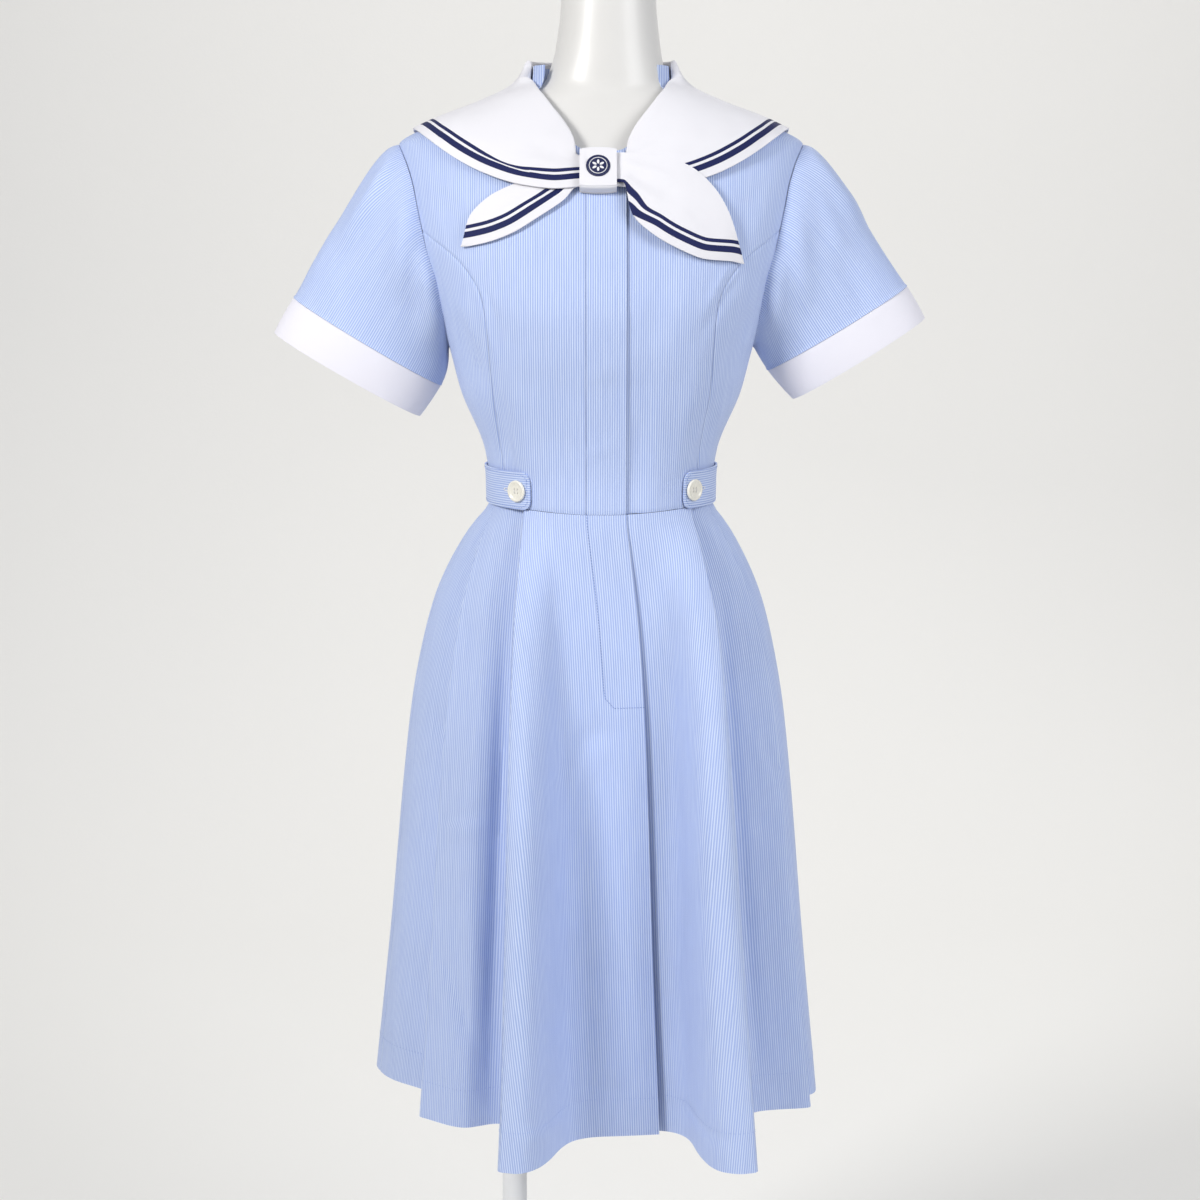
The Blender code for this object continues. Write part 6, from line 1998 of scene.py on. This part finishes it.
@dataclass
class Tie:
    """The two tails, the keeper loop and the patch on it."""

    shop: Workshop
    tail_steps: int = 9
    tail_across: int = 24
    keeper_z: float = 1.3120
    keeper_deg: float = -0.8
    half_height: float = 0.0205
    near: float = 0.0006
    far: float = 0.0134
    corner: float = 0.0034
    back_round: float = 0.0009
    front_round: float = 0.0012
    swell: float = 0.0008
    rows: tuple[PROFILE, ...] = ((-0.0165, 0.94), (-0.0080, 1.00), (0.0, 1.01), (0.0080, 1.00), (0.0165, 0.94))
    patch_radius: float = 0.0108

    def tail(self, side: Side, stations: Sequence[Station], rolled: float, reach: float) -> None:
        """Build one tail, with its bands beside the lower edge.

        Args:
            side: which one.
            stations: its cross lines.
            rolled: how much of the cloth is rolled under beside the keeper.
            reach: how far from the keeper the roll runs out.
        """
        knots = range(len(stations))
        names = ("top_x", "top_z", "low_x", "low_z", "out")
        curves = [Smooth(knots, [getattr(station, name) for station in stations]) for name in names]
        grid: Grid = []
        for step in range(self.tail_steps * (len(stations) - 1) + 1):
            top_x, top_z, low_x, low_z, out = (curve(step / self.tail_steps) for curve in curves)
            row = []
            for t in edge_shares(self.tail_across, 0.5):
                x, z = low_x + (top_x - low_x) * t, low_z + (top_z - low_z) * t
                belly = 0.0007 * math.sin(math.pi * t) ** 2
                row.append(BODY.point(side.value * BODY.turn_at(x, z), z, out + belly))
            grid.append(row)
        outward = side is Side.RIGHT
        grid = CreasePress(TAIL_CREASES).press(grid, not outward)
        edge = [row[0] for row in grid]
        flat = np.array([tuple(point) for row in grid for point in row])
        away = edge_distances(flat, edge).reshape(len(grid), -1)
        marks = [0.0]
        for a, b in zip(edge, edge[1:]):
            marks.append(marks[-1] + (b - a).length)
        start = next(mark for mark, row in zip(marks, grid) if abs(row[0].x) > self.rows[-1][0])
        hidden = [rolled * (1.0 - smooth_step(mark - start, 0.003, reach)) for mark in marks]
        grain = [[(mark, float(value) + under) for value in line]
                 for mark, line, under in zip(marks, away, hidden)]
        self.shop.sheet(f"tie_tail_cloth_{side.word}", f"tie_tail_{side.word}", grid, grain,
                        self.shop.palette.banded, DOUBLED, Held.FOLDED, outward=outward, even=False,
                        rests_on=(f"bodice_centre_front_{side.word}",))

    def keeper(self) -> tuple[Vector, Vector, Vector]:
        """Build the keeper loop.

        Returns:
            The middle of its front face, and the directions out and up.
        """
        centre = BODY.point(self.keeper_deg, self.keeper_z)
        out = BODY.normal(0.0, self.keeper_z)
        up = Vector((1.0, 0.0, 0.0)).cross(out)
        up = -up if up.z < 0 else up
        half, near, far, corner = self.half_height, self.near, self.far, self.corner
        back, front = self.back_round, self.front_round
        outline = [
            (-half + corner, near), (half - corner, near), (half - back, near + back), (half, near + corner),
            (half, far - corner), (half - front, far - front), (half - corner, far), (0.0, far + self.swell),
            (-half + corner, far), (-half + front, far - front), (-half, far - corner),
            (-half, near + corner), (-half + back, near + back),
        ]
        line = rounded_line([Vector((along, away, 0.0)) for along, away in outline], 6, closed=True)
        pinch = Smooth([row[0] for row in self.rows], [row[1] for row in self.rows])
        first, last = self.rows[0][0], self.rows[-1][0]
        grid = []
        for t in edge_shares(28, 0.7):
            x = first + (last - first) * t
            middle = centre + Vector((x, 0.0, 0.0))
            hollow = 0.0009 * (2.0 * t - 1.0) ** 2
            grid.append([middle + up * (spot.x * pinch(x)) + out * (spot.y - hollow * (spot.y > near + corner))
                         for spot in line])
        grid = CreasePress(KEEPER_CREASES).press(grid, True)
        grain = []
        for row in grid:
            marks = [0.0]
            for a, b in zip(row, row[1:]):
                marks.append(marks[-1] + (b - a).length)
            grain.append([(point.x, mark) for mark, point in zip(marks, row)])
        self.shop.sheet("keeper_loop", "tie_keeper", grid, grain, self.shop.palette.white, CLOTH,
                        Held.FOLDED, closed=True, even=False, rests_on=("tie_tail_cloth_left",))
        return centre + out * (far + self.swell), out, up

    def patch(self, middle: Vector, out: Vector, up: Vector) -> None:
        """Build the patch: a navy disc with a ring and a six-petal flower, all plain."""
        across = up.cross(out).normalized()
        turn_list = turns(48)

        def disc(name: str, spot: Vector, radii: PROFILE, spin: float, low: float, high: float,
                 material: bpy.types.Material, hole: float = 0.0) -> bpy.types.Object:
            """A low dome or ring, stretched and turned on the keeper's face."""
            turned_x = across * math.cos(spin) + up * math.sin(spin)
            turned_y = up * math.cos(spin) - across * math.sin(spin)

            def ring(size: float, level: float) -> list[Vector]:
                return [spot + turned_x * (radii[0] * size * math.cos(a)) + turned_y * (radii[1] * size * math.sin(a))
                        + out * level for a in turn_list]

            if hole:
                rings = [ring(hole, low), ring(1.0, low), ring(1.0, high * 0.7), ring(0.5 + hole / 2, high),
                         ring(hole, high * 0.7)]
            else:
                rings = [ring(1.0, low), ring(1.0, high * 0.55), ring(0.93, high * 0.9), ring(0.5, high)]
            return self.shop.rings(name, "tie_keeper", rings, material, False, bool(hole))

        palette = self.shop.palette
        base = middle - out * 0.0006
        disc("patch_disc", base, (self.patch_radius, self.patch_radius), 0.0, 0.0, 0.0011, palette.navy)
        top = base + out * 0.0006
        disc("patch_ring", top, (0.0082, 0.0082), 0.0, 0.0, 0.0009, palette.white_thread, hole=0.92)
        for index in range(6):
            spin = 2.0 * math.pi * (index + 0.5) / 6
            away = across * math.cos(spin) + up * math.sin(spin)
            disc(f"patch_petal_{index + 1}", top + away * 0.0037, (0.0021, 0.0011), spin, 0.0, 0.0010,
                 palette.white_thread)

    def build(self) -> None:
        """Build the whole tie."""
        self.tail(Side.RIGHT, RIGHT_TAIL, 0.0015, 0.030)
        self.tail(Side.LEFT, LEFT_TAIL, 0.0165, 0.062)
        self.patch(*self.keeper())


@dataclass
class HalfBelt:
    """The half belt from front button to front button round the back, and the buttons."""

    shop: Workshop
    machine: StitchMachine
    height: float = 0.0350
    out: float = 0.0030
    left_deg: float = 44.0
    right_deg: float = 36.5
    front_z: float = 1.0255
    side_z: float = 1.0285
    corner: float = 0.0085
    steps: int = 200
    button_left_deg: float = 50.6
    button_right_deg: float = 44.3
    button_radius: float = 0.0100
    button_thickness: float = 0.0026
    button_gap: float = 0.0006
    button_drop: float = 0.0005
    hole_radius: float = 0.0008
    hole_spread: float = 0.0017

    def middle(self, deg: float) -> float:
        """Height of the belt's middle line at an angle."""
        return self.side_z - (self.side_z - self.front_z) * max(math.cos(math.radians(deg)), 0.0) ** 1.5

    def half_at(self, away: float) -> float:
        """Half the belt's height at a distance from its end, which has round corners."""
        if away >= self.corner:
            return self.height / 2
        rise = math.sqrt(max(self.corner ** 2 - (self.corner - away) ** 2, 0.0))
        return self.height / 2 - self.corner + rise

    def build_band(self) -> None:
        """Build the belt and the stitching beside its edges."""
        span = 360.0 - self.left_deg - self.right_deg
        degs = [self.left_deg + span * t for t in edge_shares(self.steps, 0.72)]
        middles = [BODY.point(deg, self.middle(deg), self.out) for deg in degs]
        marks = [0.0]
        for a, b in zip(middles, middles[1:]):
            marks.append(marks[-1] + (b - a).length)
        levels = edge_shares(16, 0.8)
        grid, grain, seam_low, seam_high = [], [], [], []
        inset = 0.0022
        for deg, mark in zip(degs, marks):
            away = min(mark, marks[-1] - mark)
            half = self.half_at(away)
            z = self.middle(deg)
            belly = 0.0005 * min(away / 0.01, 1.0)
            grid.append([BODY.point(deg, z - half + 2.0 * half * t, self.out + belly * math.sin(math.pi * t) ** 0.7)
                         for t in levels])
            grain.append([(z - half + 2.0 * half * t, mark) for t in levels])
            if away > inset:
                low = self.half_at(away - inset) - inset
                seam_low.append(BODY.point(deg, z - low, self.out + 0.0003))
                seam_high.append(BODY.point(deg, z + low, self.out + 0.0003))
        grid = CreasePress([
            Crease("right belt pinch", Spot(-0.094, 1.040), Spot(-0.090, 1.018), 0.0035, -0.0007),
            Crease("left belt pinch", Spot(0.093, 1.037), Spot(0.090, 1.016), 0.0035, -0.0006),
            Crease("back belt bend", Spot(-0.030, 1.044), Spot(-0.022, 1.014), 0.0060, -0.0008, True),
            Crease("back belt swell", Spot(0.040, 1.044), Spot(0.046, 1.014), 0.0090, 0.0007, True),
        ]).press(grid, False)
        self.shop.sheet("belt_band", "half_belt", grid, grain, self.shop.palette.cotton, DOUBLED,
                        Held.STRETCHED, outward=False, rests_on=("bodice_whole_back",))
        ends = [[seam_low[0], seam_high[0]], [seam_low[-1], seam_high[-1]]]
        lines = [seam_low, seam_high, *(spaced(end, 0.002) for end in ends)]
        self.machine.sew("belt_stitches", "half_belt", lines,
                         self.shop.palette.blue_thread, 0.0028, 0.0020, 0.00034)

    def button(self, side: Side) -> None:
        """Build one four-hole button with its thread, and the buttonhole behind it."""
        deg = self.button_left_deg if side is Side.LEFT else -self.button_right_deg
        z = self.middle(deg) - self.button_drop
        out = BODY.normal(deg, z)
        across = Vector((0.0, 0.0, 1.0)).cross(out).normalized()
        up = out.cross(across)
        centre = BODY.point(deg, z, self.out + self.button_gap)
        profile = [(0.90, 0.0), (0.98, 0.12), (1.0, 0.45), (0.98, 0.80), (0.92, 0.98), (0.84, 1.0), (0.76, 0.92),
                   (0.68, 0.70), (0.60, 0.62), (0.30, 0.58)]
        rings = [[centre + out * self.button_thickness * level
                  + (across * math.cos(turn) + up * math.sin(turn)) * self.button_radius * size
                  for turn in turns(56)] for size, level in profile]
        made = self.shop.rings(f"belt_button_{side.word}", f"button_{side.word}", rings, self.shop.palette.shell)
        top = centre + out * self.button_thickness * 0.58
        spots = [across * (a * self.hole_spread) + up * (b * self.hole_spread)
                 for a, b in ((-1, -1), (1, -1), (1, 1), (-1, 1))]
        points, faces = [], []
        for spot in spots:
            start = len(points)
            for level in (-0.0012, 0.0012):
                points += [top + spot + out * level
                           + (across * math.cos(turn) + up * math.sin(turn)) * self.hole_radius for turn in turns(16)]
            faces += [tuple(start + i for i in range(16))[::-1], tuple(start + 16 + i for i in range(16))]
            faces += [(start + i, start + (i + 1) % 16, start + 16 + (i + 1) % 16, start + 16 + i) for i in range(16)]
        cutter = self.shop.mesh(f"button_holes_{side.word}", points, faces, self.shop.palette.shell)
        cut = made.modifiers.new("holes", "BOOLEAN")
        cut.operation = "DIFFERENCE"
        cut.object = cutter
        self.shop.bake(made)
        bpy.data.objects.remove(cutter, do_unlink=True)
        proud = out * 0.0003
        threads = [[top + spots[0] + proud, top + spots[3] + proud], [top + spots[1] + proud, top + spots[2] + proud]]
        self.machine.sew(f"button_thread_{side.word}", f"button_{side.word}",
                         [spaced(line, 0.0008) for line in threads], self.shop.palette.white_thread,
                         0.0009, 0.0016, 0.0006)
        self.buttonhole(side, deg, z)

    def buttonhole(self, side: Side, deg: float, z: float) -> None:
        """Sew the level buttonhole, which shows on the outer side of the button."""
        centre = moved([(deg, z + 0.0005)], side.value * 0.0112)[0]
        radii = (0.0056, 0.00150)
        line = []
        for turn in turns(36) + [0.0]:
            place = moved([centre], radii[0] * math.cos(turn))[0]
            line.append(BODY.point(place[0], place[1] + radii[1] * math.sin(turn), self.out + 0.0006))
        self.machine.sew(f"buttonhole_{side.word}", "half_belt", [line], self.shop.palette.white_thread,
                         0.0006, 0.0010, 0.00085)

    def build(self) -> None:
        """Build the belt and both buttons."""
        self.build_band()
        for side in Side:
            self.button(side)


@dataclass(frozen=True)
class FormSection:
    """A level section of the dress form below the waist or above the shoulders."""

    z: float
    half: float
    front: float
    back: float
    shift: float


FORM_HIPS = [
    FormSection(0.7400, 0.1060, 0.0500, 0.0740, 0.0), FormSection(0.7450, 0.1170, 0.0590, 0.0850, 0.0),
    FormSection(0.7600, 0.1230, 0.0640, 0.0910, 0.0), FormSection(0.8100, 0.1250, 0.0660, 0.0940, 0.0),
    FormSection(0.8600, 0.1220, 0.0660, 0.0930, 0.0), FormSection(0.9200, 0.1100, 0.0680, 0.0840, 0.0),
    FormSection(0.9700, 0.0980, 0.0720, 0.0720, 0.0),
]
FORM_NECK = [
    FormSection(1.3840, 0.0760, 0.0480, 0.0560, 0.001), FormSection(1.3900, 0.0630, 0.0464, 0.0530, 0.003),
    FormSection(1.3960, 0.0570, 0.0454, 0.0510, 0.0045),
    FormSection(1.4050, 0.0535, 0.0446, 0.0500, 0.0055), FormSection(1.4250, 0.0485, 0.0432, 0.0460, 0.0065),
    FormSection(1.4550, 0.0445, 0.0422, 0.0430, 0.007), FormSection(1.4800, 0.0430, 0.0410, 0.0420, 0.007),
    FormSection(1.4980, 0.0430, 0.0410, 0.0420, 0.007), FormSection(1.5030, 0.0400, 0.0380, 0.0390, 0.007),
]


@dataclass(frozen=True)
class FormDrop:
    """How far the form lies under the bodice at a height."""

    z: float
    drop: float


FORM_DROP = [
    FormDrop(1.0060, 0.0090), FormDrop(1.0300, 0.0075), FormDrop(1.1000, 0.0055), FormDrop(1.2900, 0.0045),
    FormDrop(1.3200, 0.0042), FormDrop(1.3396, 0.0042), FormDrop(1.3540, 0.0031),
    FormDrop(1.3720, 0.0027), FormDrop(1.3920, 0.0050),
]
FORM_LEVELS = [
    1.006, 1.035, 1.060, 1.090, 1.120, 1.150, 1.180, 1.210, 1.240, 1.270, 1.300, 1.322, 1.3396, 1.354, 1.372,
]


@dataclass
class Stand:
    """The smooth dress form, its pole and the round base."""

    shop: Workshop
    around: int = 112
    ring_steps: int = 3
    front_drop: float = 0.0038
    front_drop_power: int = 6
    form_round: float = 2.1
    pole_x: float = -0.0850
    pole_radius: float = 0.0120
    pole_top: float = 0.7395
    base_radius: float = 0.1800
    base_thickness: float = 0.0080
    base_bevel: float = 0.0020

    def form(self) -> None:
        """Build the form from its level rings, drawn smooth between them."""
        drop = column(FORM_DROP, "z", "drop")

        def plain(section: FormSection) -> list[Vector]:
            ring = []
            for index in range(self.around):
                x, y = BODY.ring(360.0 * index / self.around, section.half, section.front, section.back,
                                 self.form_round, self.form_round)
                ring.append(Vector((x + section.shift, y, section.z)))
            return ring

        rings = [plain(section) for section in FORM_HIPS]
        for z in FORM_LEVELS:
            ring = []
            for index in range(self.around):
                deg = 360.0 * index / self.around
                front = self.front_drop * max(math.cos(math.radians(deg)), 0.0) ** self.front_drop_power
                ring.append(BODY.point(deg, z, -drop(z) - front))
            rings.append(ring)
        rings += [plain(section) for section in FORM_NECK]
        lines = [rounded_line([ring[index] for ring in rings], self.ring_steps) for index in range(self.around)]
        finer = [[line[level] for line in lines] for level in range(len(lines[0]))]
        bottom, top = finer[0], finer[-1]
        low_middle, top_middle = sum(bottom, Vector()) / len(bottom), sum(top, Vector()) / len(top)
        foot = [point.lerp(low_middle, 0.10) - Vector((0.0, 0.0, 0.0)) for point in bottom]
        head = [point.lerp(top_middle, 0.35) + Vector((0.0, 0.0, 0.0)) for point in top]
        self.shop.rings("form_shell", "dress_form", [foot, *finer, head], self.shop.palette.form)

    def round_rings(self, profile: Sequence[PROFILE], x: float, count: int) -> Grid:
        """Rings of a turned shape from (radius, height) pairs."""
        return [[Vector((x + radius * math.cos(a), radius * math.sin(a), z)) for a in turns(count)]
                for radius, z in profile]

    def build(self) -> None:
        """Build all three."""
        self.form()
        low = self.base_thickness + 0.0005
        radius = self.pole_radius
        pole = [(radius, low), (radius, low + 0.004), (radius, self.pole_top - 0.02), (radius, self.pole_top)]
        self.shop.rings("stand_pole", "pole", self.round_rings(pole, self.pole_x, 56), self.shop.palette.paint)
        weld = [(radius + 0.0004, low), (radius + 0.0052, low), (radius + 0.0036, low + 0.0016),
                (radius + 0.0014, low + 0.0036), (radius + 0.0004, low + 0.0060)]
        self.shop.rings("pole_foot", "pole", self.round_rings(weld, self.pole_x, 56), self.shop.palette.paint,
                        stands_for=False)
        wide, thick, bevel = self.base_radius, self.base_thickness, self.base_bevel
        base = [(wide - 0.0006, 0.0), (wide, 0.0006), (wide, thick - bevel)]
        base += [(wide - bevel + bevel * math.cos(a), thick - bevel + bevel * math.sin(a))
                 for a in (math.radians(angle) for angle in (15, 30, 45, 60, 75, 90))]
        self.shop.rings("stand_base", "base", self.round_rings(base, 0.0, 160), self.shop.palette.paint)


@dataclass
class Studio:
    """A pale floor that curves up into a wall, soft lights and the camera."""

    tilt_deg: float = 8.6
    distance: float = 2.3
    scale: float = 0.00095
    photo_width: int = 1200
    aim: tuple[float, float, float] = (-0.00095, 0.0, 0.915)
    sensor: float = 36.0
    wall_y: float = 4.2
    bend: float = 2.2
    reach: float = 12.0

    def camera(self) -> None:
        """Place the camera as the photo was taken."""
        data = bpy.data.cameras.new("photo_camera")
        data.sensor_width = self.sensor
        data.lens = self.sensor * self.distance / self.scale / self.photo_width
        data.clip_end = 50.0
        made = bpy.data.objects.new("photo_camera", data)
        bpy.context.scene.collection.objects.link(made)
        tilt = math.radians(self.tilt_deg)
        made.location = Vector(self.aim) + Vector((0.0, -math.cos(tilt), math.sin(tilt))) * self.distance
        made.rotation_euler = (math.pi / 2 - tilt, 0.0, 0.0)
        bpy.context.scene.camera = made

    def backdrop(self) -> None:
        """Build the floor and wall in one curved sheet."""
        profile = [(-self.reach, 0.0), (self.wall_y - self.bend, 0.0)]
        for step in range(1, 33):
            angle = math.pi / 2 * step / 32
            profile.append((self.wall_y - self.bend + self.bend * math.sin(angle),
                            self.bend - self.bend * math.cos(angle)))
        profile.append((self.wall_y, self.reach))
        points, faces = [], []
        for x in (-self.reach, self.reach):
            points += [(x, y, z - 0.0002) for y, z in profile]
        count = len(profile)
        faces = [(i, count + i, count + i + 1, i + 1) for i in range(count - 1)]
        board = NodeBoard("backdrop_paper")
        tone = board.noise(board.place(), 1.2, 2.0)
        grain = board.noise(board.place(), 160.0, 3.0)
        board.link(board.mix(tone, (0.838, 0.832, 0.808, 1.0), (0.863, 0.856, 0.832, 1.0)),
                   board.shader.inputs["Base Color"])
        board.shader.inputs["Roughness"].default_value = 0.9
        board.link(board.relief(grain, 0.0008, 0.25), board.shader.inputs["Normal"])
        data = bpy.data.meshes.new("backdrop")
        data.from_pydata(points, [], faces)
        data.materials.append(board.material)
        data.shade_smooth()
        made = bpy.data.objects.new("backdrop", data)
        bpy.context.scene.collection.objects.link(made)

    @staticmethod
    def area(name: str, place: tuple[float, float, float], aim: tuple[float, float, float], size: PROFILE,
             power: float, colour: tuple[float, float, float], spread_deg: float) -> None:
        """Add one soft area light.

        Args:
            name: its name.
            place: where it hangs.
            aim: what it points at.
            size: its width and height.
            power: in watts.
            colour: its colour.
            spread_deg: how wide its light fans out.
        """
        data = bpy.data.lights.new(name, "AREA")
        data.shape = "RECTANGLE"
        data.size, data.size_y = size
        data.energy = power
        data.color = colour
        data.spread = math.radians(spread_deg)
        made = bpy.data.objects.new(name, data)
        made.location = place
        made.rotation_euler = (Vector(aim) - Vector(place)).to_track_quat("-Z", "Y").to_euler()
        bpy.context.scene.collection.objects.link(made)

    def lights(self) -> None:
        """Light the dress from above the camera and from both sides, with a pale world."""
        world = bpy.data.worlds.new("studio_world")
        world.use_nodes = True
        world.node_tree.nodes["Background"].inputs[0].default_value = (0.94, 0.955, 1.0, 1.0)
        world.node_tree.nodes["Background"].inputs[1].default_value = 0.40
        bpy.context.scene.world = world
        self.area("key", (-1.9, -2.0, 2.35), (0.0, 0.0, 1.02), (0.8, 0.7), 18.0, (1.0, 0.99, 0.97), 95.0)
        self.area("fill", (2.0, -1.9, 2.0), (0.05, 0.0, 0.95), (1.6, 1.6), 16.5, (0.97, 0.98, 1.0), 110.0)
        self.area("wall_light", (0.1, 1.6, 3.9), (0.0, 4.0, 2.0), (5.0, 1.4), 72.0, (1.0, 0.985, 0.97), 180.0)
        self.area("back_light", (0.6, 2.4, 2.6), (0.0, 0.0, 1.0), (1.8, 1.2), 12.0, (1.0, 0.99, 0.97), 180.0)

    def build(self) -> None:
        """Build the studio."""
        self.camera()
        self.backdrop()
        self.lights()
        bpy.context.scene.view_settings.view_transform = "Standard"


def main() -> None:
    """Load the frame and build every piece on it."""
    logging.basicConfig(level=logging.INFO, format="%(message)s")
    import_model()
    Studio().build()
    shop = Workshop(Palette())
    machine = StitchMachine(shop)
    Stand(shop).build()
    Bodice(shop, machine).build()
    Skirt(shop, machine).build()
    Sleeves(shop, machine).build()
    Collar(shop).build()
    Tie(shop).build()
    HalfBelt(shop, machine).build()


if __name__ == "__main__":
    main()
